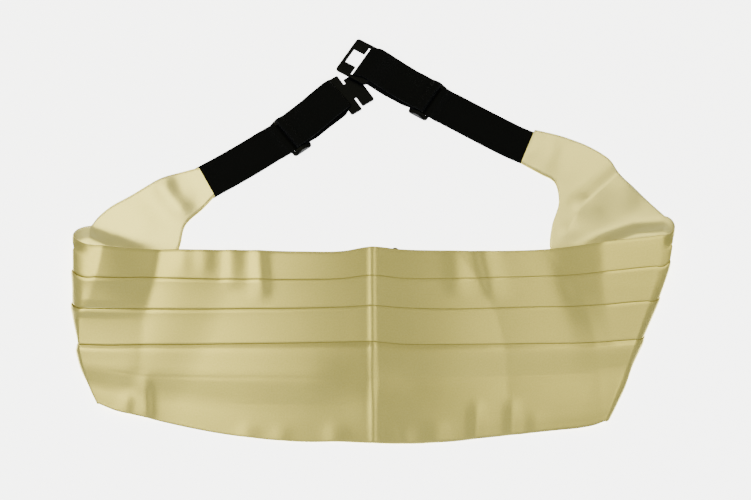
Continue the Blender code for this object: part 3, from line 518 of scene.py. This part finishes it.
def make_object(name, points, faces, material, uv=None):
    mesh = bpy.data.meshes.new(name)
    mesh.from_pydata([tuple(p) for p in points], [], faces)
    work = bmesh.new()
    work.from_mesh(mesh)
    bmesh.ops.recalc_face_normals(work, faces=work.faces)
    if uv is not None:
        layer = work.loops.layers.uv.new("UVMap")
        for face in work.faces:
            for loop in face.loops:
                loop[layer].uv = uv[loop.vert.index]
    work.to_mesh(mesh)
    work.free()
    mesh.shade_smooth()
    mesh.set_sharp_from_angle(angle=SHARP_ANGLE)
    mesh.materials.append(material)
    return link_object(name, mesh)


def loft(name, rings, across, along, material):
    """Closed wall through rings of equal length, capped at both ends."""
    count, turns = len(rings[0]), len(rings)
    points = (np.concatenate(rings) + np.array(PLAN_SHIFT)) * MM
    faces = []
    for ring in range(turns - 1):
        here, there = ring * count, (ring + 1) * count
        for k in range(count):
            nxt = (k + 1) % count
            faces.append((here + k, there + k, there + nxt, here + nxt))
    faces.append(tuple(range(count)))
    faces.append(tuple(reversed(range((turns - 1) * count, turns * count))))
    uv = [(along[ring] * MM, place * MM) for ring in range(turns) for place in across[ring]]
    return make_object(name, points, faces, material, uv)


def build_shell(name, band, outline, material):
    """Closed shell around the band: each section's outline, set off its middle surface."""
    rings, acrosses = [], []
    for index, row in enumerate(band.rows):
        across, out = outline(row, band.lengths[index], band.pressed[index])
        rings.append(band.offset(index, across / band.lengths[index], out))
        acrosses.append(across)
    return loft(name, rings, acrosses, band.along, material)


# ---------------- straps and their plates
WEB_WIDTH = 27.0
WEB = 1.0              # thickness of the webbing
LAYER = 1.3            # one layer of it and the gap above
WEB_STEP = 1.5         # largest distance between two places of its route
TURN_STEPS = 16
WEB_ROUND = 5          # points round either edge of the webbing
WEB_ACROSS = 8
BAR_GAP = 0.3          # between the webbing and a bar that it goes over or round
# Where the webbing begins inside the wing and, from there, where its seam lets it down.
STRAP_START, SEWN_LENGTH, SEWN_LIFT, SEWN_DOWN = 6.5, 9.0, 0.35, 18.0
# From the slide's middle: where it leaves the table, lies over an outer bar and is down again
# under the middle bar; the same for the layer that comes back; its turn and its end.
RAMP_FOOT, BAR_FAR, BAR_NEAR, DIP = 13.0, 8.2, 5.0, 3.1
RETURN_FAR, RETURN_NEAR, RETURN_TOP = 9.0, 5.2, 2.0
WRAP_CENTER, TAIL_END = -0.8, 2.4
# From the plate's bar: flat up to here, the middle of the turn, its end, and flat from here.
TURN_FROM, TURN_CENTER, TURN_END, TURN_TO = 4.0, 0.7, 0.35, 5.0
RETURN_SAG = 0.9       # how much lower the upper layer lies halfway to the slide
BEND_RADIUS, BEND_STEPS, BEND_SHARE, STRAIGHT = 2.0, 5, 0.45, 0.02
PLAN_STEPS, HEADING_SPAN = 12, 6.0

SLIDE_LENGTH, SLIDE_WIDTH, SLIDE_SLOT = 15.0, 31.2, 24.4
SLIDE_ASIDE = -0.95    # how far the slide sits off the strap's middle line
SLIDE_OUTER_BAR, SLIDE_MIDDLE_BAR, SLIDE_THICKNESS = 2.2, 2.0, 1.2
SLIDE_MIDDLE_Z, SLIDE_MIDDLE_THICKNESS = 2.0 * LAYER, 1.0
SLIDE_STEP = 0.4       # the width in which its middle bar comes down to the sides

PLATE_THICKNESS = 1.2
# The hook lies turned a little from its strap.  Its parts' right and left sides, and how far
# along it starts and its bar, slot, body, notches and crossbar end.
HOOK_TURN = math.radians(-4.1)
HOOK_BODY, HOOK_SLOT, HOOK_NECK, HOOK_CROSSBAR = (
    (-15.6, 17.2), (-10.5, 15.8), (-5.3, 8.3), (-13.7, 11.8))
HOOK_ENDS = (-1.0, 1.0, 1.5, 7.7, 9.4, 19.4)
# The same for the eye: where it starts, its bar, slot and window end, and it ends.
EYE_BODY, EYE_SLOT, EYE_WINDOW = (-15.0, 16.1), (-12.1, 13.2), (-5.5, 6.5)
EYE_ENDS = (-9.2, 2.2, 5.0, 13.6, 16.4)
SLIDE_RADIUS, HOOK_RADIUS, EYE_RADIUS = 2.2, 1.8, 2.4    # of the corners at a plate's ends
INNER_RADIUS, EDGE_RADIUS = 0.8, 0.35                    # of its other corners, of its rims
CORNER_SEGMENTS, EDGE_SEGMENTS = 5, 3
CORNER_TURN, RIM_TURN = 1.0, 0.9    # the least angle, in radians, at which an edge is rounded
UPRIGHT = 1e-7                      # an edge shorter than this in plan stands upright (metres)
TOLERANCE = 0.01

# Plan of each strap's middle line, from inside the wing's end to the plate's bar, where its
# slide sits, how far it is lifted at its plate and how far past the bar it turns back.  Its
# two layers lie off the middle line, upwards in plan: for each share of the way from the
# slide to the bar, how far.
Strap = namedtuple("Strap", "side plan slide_at plate_lift past_bar under over")
LEFT_STRAP = Strap(
    "left",
    [(-125.0, 43.6), (-115.6, 50.0), (-87.5, 68.6), (-60.0, 88.7), (-41.0, 104.6),
     (-24.4, 117.4)],
    (-60.6, 88.2), 0.0, 0.0,
    ((-1.6, 1.45), (-0.35, 1.45), (-0.26, 1.0), (-0.18, 0.2), (0.0, 0.0), (0.1, -0.4),
     (0.2, -0.6), (0.4, -0.3), (0.6, 0.2), (0.77, 0.6), (0.9, 1.2), (1.0, 3.6)),
    ((0.0, 0.4), (0.15, 0.8), (0.3, 1.1), (0.5, 1.7), (0.7, 2.7), (0.84, 3.3), (0.94, 3.7),
     (1.0, 3.6)))
RIGHT_STRAP = Strap(
    "right",
    [(116.2, 72.2), (106.2, 77.0), (94.6, 83.0), (72.4, 96.2), (37.6, 117.6),
     (14.0, 132.2), (-6.5, 144.6)],
    (37.6, 117.6), 2.8, 1.2,
    ((-1.6, 0.8), (-0.3, 0.8), (-0.17, 0.1), (0.0, 0.0), (0.1, -0.3), (0.2, -0.45),
     (0.9, -0.45), (1.0, 0.2)),
    ((0.0, 0.4), (0.2, 0.9), (0.35, 1.0), (0.47, 1.7), (0.58, 2.0), (0.7, 1.85),
     (0.92, 1.8), (1.0, 0.2)))
LIFT_LENGTH, LIFT_WHOLE = 20.0, 6.0


def distances(places):
    """How far along a line of points each of them lies."""
    run = [0.0]
    for a, b in zip(places, places[1:]):
        run.append(run[-1] + (b - a).length)
    return run


def left_of(heading):
    return Vector((-heading.y, heading.x))


class Plan:
    """Smooth line through plan points, read by distance along it."""

    def __init__(self, points):
        line = [Vector(point) for point in points]
        line = [line[0] * 2 - line[1]] + line + [line[-1] * 2 - line[-2]]
        self.places = []
        for a, b, c, d in zip(line, line[1:], line[2:], line[3:]):
            for step in range(PLAN_STEPS):
                u = step / PLAN_STEPS
                self.places.append(0.5 * (2 * b + (c - a) * u
                                          + (2 * a - 5 * b + 4 * c - d) * u * u
                                          + (3 * b - a - 3 * c + d) * u ** 3))
        self.places.append(line[-2])
        self.distances = distances(self.places)
        self.length = self.distances[-1]

    def nearest(self, target):
        target = Vector(target)
        best = min(range(len(self.places)), key=lambda k: (self.places[k] - target).length)
        return self.distances[best]

    def at(self, distance):
        """The place; past either end the line runs straight on."""
        index = 0
        while index < len(self.places) - 2 and self.distances[index + 1] < distance:
            index += 1
        a, b = self.places[index], self.places[index + 1]
        return a + (b - a).normalized() * (distance - self.distances[index])

    def heading(self, distance):
        half = HEADING_SPAN / 2
        return (self.at(distance + half) - self.at(distance - half)).normalized()


def rounded(corners):
    """The corners of a line in (along, height), each replaced by an arc where it fits."""
    corners = [Vector(corner) for corner in corners]
    line = [corners[0]]
    for before, corner, after in zip(corners, corners[1:], corners[2:]):
        incoming = (corner - before).normalized()
        outgoing = (after - corner).normalized()
        turn = incoming.angle(outgoing)
        if turn < STRAIGHT:
            line.append(corner)
            continue
        room = BEND_SHARE * min((corner - before).length, (after - corner).length)
        cut = min(BEND_RADIUS * math.tan(turn / 2.0), room)
        start, finish = corner - incoming * cut, corner + outgoing * cut
        for step in range(BEND_STEPS + 1):
            u = step / BEND_STEPS
            line.append((1 - u) ** 2 * start + 2 * u * (1 - u) * corner + u * u * finish)
    line.append(corners[-1])
    return line


def divided(line):
    cut = []
    for a, b in zip(line, line[1:]):
        steps = max(1, math.ceil((b - a).length / WEB_STEP))
        cut += [a.lerp(b, step / steps) for step in range(steps)]
    return cut + [line[-1]]


def half_turn(center, radius, start_angle):
    turn = []
    for step in range(TURN_STEPS + 1):
        angle = start_angle + math.pi * step / TURN_STEPS
        turn.append(center + Vector((math.cos(angle), math.sin(angle))) * radius)
    return turn


def strap_route(slide, bar):
    """The webbing's middle line: to the plate, round its bar, back and round the slide."""
    on_table = 0.5 * WEB
    sewn = on_table + SEWN_LIFT
    over_bar = SLIDE_THICKNESS + BAR_GAP + 0.5 * WEB
    over_both = over_bar + LAYER
    middle = SLIDE_MIDDLE_Z + 0.5 * SLIDE_MIDDLE_THICKNESS
    wrap = 0.5 * SLIDE_MIDDLE_THICKNESS + BAR_GAP + 0.5 * WEB
    bar_wrap = 0.5 * PLATE_THICKNESS + BAR_GAP + 0.5 * WEB
    bar_z = LAYER + 0.5 * PLATE_THICKNESS
    out = divided(rounded([
        (STRAP_START, sewn), (STRAP_START + SEWN_LENGTH, sewn),
        (STRAP_START + SEWN_DOWN, on_table), (slide - RAMP_FOOT, on_table),
        (slide - BAR_FAR, over_bar), (slide - BAR_NEAR, over_bar), (slide - DIP, on_table),
        (slide + DIP, on_table), (slide + BAR_NEAR, over_bar), (slide + BAR_FAR, over_bar),
        (slide + RAMP_FOOT, on_table), (bar - TURN_FROM, on_table)]))
    out.append(Vector((bar, on_table)))
    round_bar = half_turn(Vector((bar + TURN_CENTER, bar_z)), bar_wrap, -math.pi / 2)
    top = bar_z + bar_wrap
    back = divided(rounded([
        (bar + TURN_END, top), (bar - TURN_TO, top), (mix(slide, bar, 0.5), top - RETURN_SAG),
        (slide + RETURN_FAR, over_both), (slide + RETURN_NEAR, over_both),
        (slide + RETURN_TOP, middle + wrap), (slide, middle + wrap)]))
    round_slide = half_turn(Vector((slide + WRAP_CENTER, middle)), wrap, math.pi / 2)
    tail = Vector((slide + TAIL_END, middle - wrap))
    return out + round_bar + back + round_slide + [tail]


def upwards(strap):
    """The sign of a shift upwards in plan, seen along the strap."""
    return 1.0 if strap.side == "left" else -1.0


def sideways(strap, along, slide, bar, is_under):
    """How far a layer of the strap lies off its middle line, to the left of its heading."""
    shares, shifts = zip(*(strap.under if is_under else strap.over))
    share = (along - slide) / (bar - slide)
    return upwards(strap) * float(np.interp(share, shares, shifts))


def web_outline():
    """The webbing's section: places across it and heights, both edges round."""
    half, radius = 0.5 * WEB_WIDTH, 0.5 * WEB
    outline = []
    for side in (1.0, -1.0):
        for step in range(WEB_ROUND):
            angle = math.pi * step / (WEB_ROUND - 1)
            outline.append((side * (half - radius + radius * math.sin(angle)),
                            side * radius * math.cos(angle)))
        for step in range(1, WEB_ACROSS):
            across = mix(half - radius, radius - half, step / WEB_ACROSS)
            outline.append((side * across, -side * radius))
    return outline


def build_strap(strap, material):
    plan = Plan(strap.plan)
    slide, bar = plan.nearest(strap.slide_at), plan.length + strap.past_bar
    route = strap_route(slide, bar)
    turned_at = max(range(len(route)), key=lambda k: route[k].x)
    outline = web_outline()
    rings, run = [], distances(route)
    for k, place in enumerate(route):
        before, after = route[max(k - 1, 0)], route[min(k + 1, len(route) - 1)]
        direction = (after - before).normalized()
        upright = left_of(direction)
        shift = sideways(strap, place.x, slide, bar, k <= turned_at)
        lifted = (place.x - (bar - LIFT_LENGTH - LIFT_WHOLE)) / LIFT_LENGTH
        lifted = strap.plate_lift * float(ease(lifted))
        ring = []
        for across, height in outline:
            spot = place + upright * height
            flat = plan.at(spot.x) + left_of(plan.heading(spot.x)) * (across + shift)
            ring.append((flat.x, flat.y, spot.y + lifted))
        rings.append(np.array(ring))
    across = [np.array([place for place, _ in outline])] * len(rings)
    made = loft(f"webbing_{strap.side}", rings, across, run, material)
    return made, run[-1]


def round_edges(work, edges, radius, segments):
    bmesh.ops.bevel(work, geom=edges, offset=radius * MM, offset_type="OFFSET",
                    segments=segments, profile=0.5, affect="EDGES", clamp_overlap=True)


def lattice_plate(name, along, across, is_solid, low, high, material, place, heading, radius):
    """Plate on a lattice of lines, solid in some of its cells, its edges rounded."""
    left = left_of(heading)
    points, index = [], {}

    def corner(i, j, top):
        key = (i, j, top)
        if key not in index:
            flat = place + heading * along[i] + left * across[j]
            index[key] = len(points)
            points.append((flat.x, flat.y, (high if top else low)(along[i], across[j])))
        return index[key]

    def solid(i, j):
        inside = 0 <= i < len(along) - 1 and 0 <= j < len(across) - 1
        return inside and is_solid(0.5 * (along[i] + along[i + 1]),
                                   0.5 * (across[j] + across[j + 1]))

    faces = []
    for i in range(len(along) - 1):
        for j in range(len(across) - 1):
            if not solid(i, j):
                continue
            for top in (False, True):
                faces.append((corner(i, j, top), corner(i + 1, j, top),
                              corner(i + 1, j + 1, top), corner(i, j + 1, top)))
            walls = [(i - 1, j, (i, j), (i, j + 1)), (i + 1, j, (i + 1, j), (i + 1, j + 1)),
                     (i, j - 1, (i, j), (i + 1, j)), (i, j + 1, (i, j + 1), (i + 1, j + 1))]
            for next_i, next_j, a, b in walls:
                if not solid(next_i, next_j):
                    faces.append((corner(*a, False), corner(*b, False),
                                  corner(*b, True), corner(*a, True)))
    points = (np.array(points) + np.array(PLAN_SHIFT)) * MM
    plate = make_object(name, points, faces, material)
    work = bmesh.new()
    work.from_mesh(plate.data)
    for at_ends, corner_radius in ((True, radius), (False, INNER_RADIUS)):
        upright = []
        for edge in work.edges:
            a, b = edge.verts
            if (a.co - b.co).xy.length > UPRIGHT or edge.calc_face_angle(0.0) < CORNER_TURN:
                continue
            if edge.calc_face_angle_signed() > 0.0:
                flat = a.co.xy / MM - Vector(PLAN_SHIFT).xy - place
                reach = flat.dot(heading)
                at_end = min(abs(reach - along[0]), abs(reach - along[-1])) < TOLERANCE
                if at_end == at_ends:
                    upright.append(edge)
        round_edges(work, upright, corner_radius, CORNER_SEGMENTS)
    rims = [edge for edge in work.edges if edge.calc_face_angle(0.0) > RIM_TURN
            and (edge.verts[0].co - edge.verts[1].co).xy.length > UPRIGHT]
    round_edges(work, rims, EDGE_RADIUS, EDGE_SEGMENTS)
    work.to_mesh(plate.data)
    work.free()
    plate.data.shade_smooth()
    plate.data.set_sharp_from_angle(angle=PLATE_SHARP_ANGLE)
    return plate


def symmetric(*halves):
    return [-half for half in halves] + list(reversed(halves))


def build_slide(strap, material):
    """Three-bar slide, its middle bar humped over the webbing."""
    plan = Plan(strap.plan)
    along = plan.nearest(strap.slide_at)
    half = 0.5 * SLIDE_LENGTH
    lines = symmetric(half, half - SLIDE_OUTER_BAR, 0.5 * SLIDE_MIDDLE_BAR)
    slope = half - SLIDE_OUTER_BAR - 0.5 * SLIDE_MIDDLE_BAR

    def hump(place):
        return 1.0 - min(max((abs(place) - 0.5 * SLIDE_MIDDLE_BAR) / slope, 0.0), 1.0)

    def low(place, side):
        return SLIDE_MIDDLE_Z * hump(place) if abs(side) < 0.5 * SLIDE_SLOT - TOLERANCE else 0.0

    def high(place, side):
        return SLIDE_MIDDLE_Z * hump(place) + mix(SLIDE_THICKNESS, SLIDE_MIDDLE_THICKNESS,
                                                  hump(place))

    def is_solid(place, side):
        in_slot = 0.5 * SLIDE_MIDDLE_BAR < abs(place) < half - SLIDE_OUTER_BAR
        return abs(side) > 0.5 * SLIDE_SLOT or not in_slot

    heading = plan.heading(along)
    aside = left_of(heading) * SLIDE_ASIDE * upwards(strap)
    return lattice_plate(f"ladder_slide_{strap.side}", lines,
                         symmetric(0.5 * SLIDE_WIDTH, 0.5 * SLIDE_SLOT,
                                   0.5 * SLIDE_SLOT - SLIDE_STEP), is_solid, low, high,
                         material, plan.at(along) + aside, heading, SLIDE_RADIUS)


def plate_heights(lift):
    bottom = LAYER + lift
    return (lambda place, side: bottom), (lambda place, side: bottom + PLATE_THICKNESS)


def within(value, limits):
    return limits[0] < value < limits[1]


def build_hook(strap, material):
    """T-shaped hook: a slotted body for the webbing, a neck and a crossbar."""
    plan = Plan(strap.plan)
    _, bar_end, slot_end, body_end, notch_end, _ = HOOK_ENDS

    def is_solid(along, side):
        if along < body_end:
            in_slot = within(along, (bar_end, slot_end)) and within(side, HOOK_SLOT)
            return within(side, HOOK_BODY) and not in_slot
        return within(side, HOOK_NECK if along < notch_end else HOOK_CROSSBAR)

    heading = plan.heading(plan.length)
    heading.rotate(Matrix.Rotation(HOOK_TURN, 2))
    across = sorted(HOOK_BODY + HOOK_SLOT + HOOK_NECK + HOOK_CROSSBAR)
    return lattice_plate("hook", HOOK_ENDS, across, is_solid, *plate_heights(strap.plate_lift),
                         material, plan.at(plan.length), heading, HOOK_RADIUS)


def build_eye(strap, material):
    """Eye plate: a body under the webbing and one T-shaped hole, its long part at the bar."""
    plan = Plan(strap.plan)
    _, bar_end, slot_end, window_end, _ = EYE_ENDS

    def is_solid(along, side):
        if within(along, (bar_end, slot_end)):
            return not within(side, EYE_SLOT)
        return not (within(along, (slot_end, window_end)) and within(side, EYE_WINDOW))

    across = sorted(EYE_BODY + EYE_SLOT + EYE_WINDOW)
    return lattice_plate("eye", EYE_ENDS, across, is_solid, *plate_heights(strap.plate_lift),
                         material, plan.at(plan.length), plan.heading(plan.length), EYE_RADIUS)


LOOP_X, LOOP_HALF_WIDTH, LOOP_LENGTH, LOOP_TOP, LOOP_Z = 13.2, 2.1, 9.0, 1.1, 0.5
LEG_STEPS = 8
CORD_RADIUS, CORD_SIDES, CORD_END = 0.45, 14, 0.45    # the last is an end's share of the radius


def cord(name, route, material):
    """Round cord along a line of points, its ends closed by short domes."""
    rings, across = [], []
    angles = [2.0 * math.pi * step / CORD_SIDES for step in range(CORD_SIDES)]
    for k, place in enumerate(route):
        before, after = route[max(k - 1, 0)], route[min(k + 1, len(route) - 1)]
        heading = (after - before).normalized()
        side = heading.cross(Vector((0.0, 0.0, 1.0))).normalized()
        upright = side.cross(heading)
        width = CORD_RADIUS * (CORD_END if k in (0, len(route) - 1) else 1.0)
        rings.append(np.array([place + (side * math.cos(angle) + upright * math.sin(angle))
                               * width for angle in angles]))
        across.append(np.array([CORD_RADIUS * angle for angle in angles]))
    return loft(name, rings, across, distances(route), material)


def build_button_loop(material):
    center = Vector((LOOP_X, LOOP_TOP - LOOP_HALF_WIDTH, LOOP_Z))
    legs = [step * LOOP_LENGTH / LEG_STEPS for step in range(1, LEG_STEPS + 1)]
    route = [center + Vector((LOOP_HALF_WIDTH, -leg, 0.0)) for leg in reversed(legs)]
    for step in range(TURN_STEPS + 1):
        angle = math.pi * step / TURN_STEPS
        route.append(center + Vector((math.cos(angle), math.sin(angle), 0.0))
                     * LOOP_HALF_WIDTH)
    route += [center + Vector((-LOOP_HALF_WIDTH, -leg, 0.0)) for leg in legs]
    return cord("cord_loop", route, material)


# ---------------- materials
WEAVE = 0.03           # strength of the satin's relief
SATIN_METALLIC = 0.6
UV_IN_MILLIMETRES = (1000.0, 1000.0, 1.0)
DARK_INPUT, LIGHT_INPUT, MIXED_OUTPUT = 6, 7, 2    # the colour sockets of a Mix node


def new_material(name):
    material = bpy.data.materials.new(name)
    material.use_nodes = True
    return material, material.node_tree.nodes, material.node_tree.links


def set_inputs(node, values):
    for name, value in values.items():
        node.inputs[name].default_value = value


def new_node(nodes, kind, values):
    node = nodes.new("ShaderNode" + kind)
    set_inputs(node, values)
    return node


def cloth_place(nodes, links):
    """Places along and across the cloth, in millimetres."""
    place = nodes.new("ShaderNodeUVMap")
    mapping = new_node(nodes, "Mapping", {"Scale": UV_IN_MILLIMETRES})
    links.new(place.outputs["UV"], mapping.inputs["Vector"])
    return mapping.outputs["Vector"]


def new_texture(nodes, links, kind, place, values):
    texture = new_node(nodes, "Tex" + kind, values)
    links.new(place, texture.inputs["Vector"])
    return texture


def add_color(nodes, links, dark, light, share):
    """The shader's colour, from dark to light by this share."""
    tint = nodes.new("ShaderNodeMix")
    tint.data_type = "RGBA"
    set_inputs(tint, {DARK_INPUT: (*dark, 1.0), LIGHT_INPUT: (*light, 1.0)})
    links.new(share, tint.inputs[0])
    links.new(tint.outputs[MIXED_OUTPUT], nodes["Principled BSDF"].inputs["Base Color"])


def new_bump(nodes, links, strength, distance, height):
    bump = new_node(nodes, "Bump", {"Strength": strength, "Distance": distance})
    links.new(height, bump.inputs["Height"])
    return bump


def satin_material(name, light, dark, roughness):
    """Satin: stretched highlights, a diagonal weave, speckles and cloudy shades."""
    material, nodes, links = new_material(name)
    shader = nodes["Principled BSDF"]
    set_inputs(shader, {
        "Roughness": roughness, "Metallic": SATIN_METALLIC, "Anisotropic": 0.8,
        "Anisotropic Rotation": 0.25, "Specular IOR Level": 0.2, "Sheen Weight": 0.05,
        "Sheen Roughness": 0.4})
    tangent = nodes.new("ShaderNodeTangent")
    tangent.direction_type = "UV_MAP"
    tangent.uv_map = "UVMap"
    links.new(tangent.outputs["Tangent"], shader.inputs["Tangent"])
    place = cloth_place(nodes, links)
    threads = new_texture(nodes, links, "Wave", place, {
        "Scale": 0.8, "Distortion": 1.5, "Detail": 1.0, "Detail Scale": 2.0})
    threads.wave_type = "BANDS"
    threads.bands_direction = "DIAGONAL"
    grain = new_texture(nodes, links, "Noise", place, {
        "Scale": 0.9, "Detail": 3.0, "Roughness": 0.6})
    cloud = new_texture(nodes, links, "Noise", place, {"Scale": 0.02, "Detail": 2.0})
    speckle = new_node(nodes, "MapRange", {"From Min": 0.36, "From Max": 0.64})
    links.new(grain.outputs["Fac"], speckle.inputs["Value"])
    half = new_node(nodes, "Math", {1: 0.5})
    half.operation = "MULTIPLY"
    links.new(cloud.outputs["Fac"], half.inputs[0])
    both = new_node(nodes, "Math", {1: 0.5})
    both.operation = "MULTIPLY_ADD"
    links.new(speckle.outputs["Result"], both.inputs[0])
    links.new(half.outputs[0], both.inputs[2])
    add_color(nodes, links, dark, light, both.outputs[0])
    weave = new_bump(nodes, links, WEAVE, 0.0002, threads.outputs["Fac"])
    relief = new_bump(nodes, links, WEAVE, 0.0004, grain.outputs["Fac"])
    links.new(weave.outputs["Normal"], relief.inputs["Normal"])
    links.new(relief.outputs["Normal"], shader.inputs["Normal"])
    return material


def webbing_material(name, color, rib):
    """Dark ribbed weave: ribs across the strap and a grain in the threads."""
    material, nodes, links = new_material(name)
    shader = nodes["Principled BSDF"]
    set_inputs(shader, {"Roughness": 0.75, "Specular IOR Level": 0.06})
    place = cloth_place(nodes, links)
    ribs = new_texture(nodes, links, "Wave", place, {
        "Scale": rib, "Distortion": 0.6, "Detail Scale": 3.0})
    ribs.bands_direction = "X"
    threads = new_texture(nodes, links, "Noise", place, {"Scale": 1.6, "Detail": 2.0})
    add_color(nodes, links, [0.6 * part for part in color], [1.4 * part for part in color],
              threads.outputs["Fac"])
    bump = new_bump(nodes, links, 0.5, 0.0002, ribs.outputs["Fac"])
    links.new(bump.outputs["Normal"], shader.inputs["Normal"])
    return material


def plastic_material(name, color):
    """Moulded plastic: a faint grain and slightly uneven gloss."""
    material, nodes, links = new_material(name)
    shader = nodes["Principled BSDF"]
    set_inputs(shader, {"Specular IOR Level": 0.05})
    place = nodes.new("ShaderNodeTexCoord")
    grain = new_texture(nodes, links, "Noise", place.outputs["Object"], {
        "Scale": 1800.0, "Detail": 3.0})
    add_color(nodes, links, [0.7 * part for part in color], [1.3 * part for part in color],
              grain.outputs["Fac"])
    gloss = new_node(nodes, "MapRange", {"To Min": 0.32, "To Max": 0.5})
    links.new(grain.outputs["Fac"], gloss.inputs["Value"])
    links.new(gloss.outputs["Result"], shader.inputs["Roughness"])
    bump = new_bump(nodes, links, 0.15, 0.0001, grain.outputs["Fac"])
    links.new(bump.outputs["Normal"], shader.inputs["Normal"])
    return material


# ---------------- the scene
def place(piece, node, slot):
    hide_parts(node)
    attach(piece, "root")


def build():
    satin = satin_material("ivory_satin", (0.80, 0.705, 0.22), (0.64, 0.56, 0.16), 0.26)
    lining = satin_material("cream_lining", (0.95, 0.86, 0.34), (0.83, 0.75, 0.28), 0.28)
    band = Band()
    cloth = build_shell("satin_front", band, cloth_outline, satin)
    place(cloth, "front", "satin")
    back = build_shell("satin_lining", band, lining_outline, lining)
    place(back, "lining", "lining")
    webbing = webbing_material("black_webbing", (0.003, 0.0033, 0.0038), 0.85)
    black_cord = webbing_material("black_cord", (0.004, 0.004, 0.004), 1.6)
    plastic = plastic_material("black_plastic", (0.0025, 0.003, 0.004))
    for strap in (LEFT_STRAP, RIGHT_STRAP):
        web, length = build_strap(strap, webbing)
        place(web, f"strap_{strap.side}", "webbing")
        slide = build_slide(strap, plastic)
        place(slide, f"slide_{strap.side}", "plastic")
    place(build_hook(LEFT_STRAP, plastic), "hook_plate", "plastic")
    place(build_eye(RIGHT_STRAP, plastic), "eye_plate", "plastic")
    place(build_button_loop(black_cord), "button_loop", "webbing")


# Strips of soft light over the table, with a gap over the middle, brighter on the left and
# behind the wings: left, right, near and far sides, and watts for each square metre.
SOFTBOX_HEIGHT, SOFTBOX_AIM_Y = 1.07, 0.2
SOFTBOXES = (
    ("left_softbox", -0.72, -0.22, 0.20, 0.94, 18.0),
    ("left_dim_softbox", -0.22, -0.085, 0.20, 0.63, 9.0),
    ("right_dim_softbox", 0.115, 0.17, 0.00, 0.54, 6.2),
    ("right_mid_softbox", 0.17, 0.24, 0.00, 0.54, 5.4),
    ("right_softbox", 0.24, 0.44, -0.01, 0.45, 4.6),
    ("right_back_softbox", 0.20, 0.62, 0.54, 1.01, 12.5))
FRONT_PLACE, FRONT_SIZE, FRONT_POWER = (-0.1, -1.5, 1.0), (0.6, 0.4), 22.0
WARM, COOL = (1.0, 0.94, 0.52), (0.93, 0.97, 1.0)
WORLD_STRENGTH = 0.22
FLOOR_HALF, FLOOR_GLOW = 3.0, 5.0
CAMERA_LENS, CAMERA_SENSOR = 70.0, 36.0
CAMERA_TARGET = (0.0002, -0.01413, 0.0)
CAMERA_DISTANCE, CAMERA_ELEVATION = 0.985, 65.0


def area_light(name, place, target, size, power, color):
    data = bpy.data.lights.new(name, "AREA")
    data.shape = "RECTANGLE"
    data.size, data.size_y = size
    data.energy = power
    data.color = color
    lamp = link_object(name, data)
    lamp.location = place
    direction = Vector(target) - Vector(place)
    lamp.rotation_euler = direction.to_track_quat("-Z", "Y").to_euler()


def build_floor():
    material, nodes, _ = new_material("pale_floor")
    set_inputs(nodes["Principled BSDF"], {
        "Base Color": (0.8, 0.8, 0.8, 1.0), "Roughness": 0.9,
        "Emission Color": (1.0, 1.0, 1.0, 1.0), "Emission Strength": FLOOR_GLOW})
    mesh = bpy.data.meshes.new("floor")
    corners = [(x * FLOOR_HALF, y * FLOOR_HALF, 0.0)
               for x, y in ((-1, -1), (1, -1), (1, 1), (-1, 1))]
    mesh.from_pydata(corners, [], [(0, 1, 2, 3)])
    mesh.materials.append(material)
    link_object("floor", mesh)


def stage():
    build_floor()
    world = bpy.data.worlds.new("studio")
    world.use_nodes = True
    set_inputs(world.node_tree.nodes["Background"], {
        "Color": (*COOL, 1.0), "Strength": WORLD_STRENGTH})
    bpy.context.scene.world = world
    for name, left, right, near, far, brightness in SOFTBOXES:
        middle_x, middle_y = 0.5 * (left + right), 0.5 * (near + far)
        area_light(name, (middle_x, middle_y, SOFTBOX_HEIGHT), (middle_x, SOFTBOX_AIM_Y, 0.0),
                   (right - left, far - near), brightness * (right - left) * (far - near),
                   WARM)
    area_light("front_softbox", FRONT_PLACE, (0.0, 0.0, 0.0), FRONT_SIZE, FRONT_POWER, COOL)

    data = bpy.data.cameras.new("camera")
    data.lens, data.sensor_width = CAMERA_LENS, CAMERA_SENSOR
    camera = link_object("camera", data)
    elevation = math.radians(CAMERA_ELEVATION)
    camera.location = Vector(CAMERA_TARGET) + CAMERA_DISTANCE * Vector(
        (0.0, -math.cos(elevation), math.sin(elevation)))
    camera.rotation_euler = (math.radians(90.0 - CAMERA_ELEVATION), 0.0, 0.0)
    bpy.context.scene.camera = camera


build()
stage()
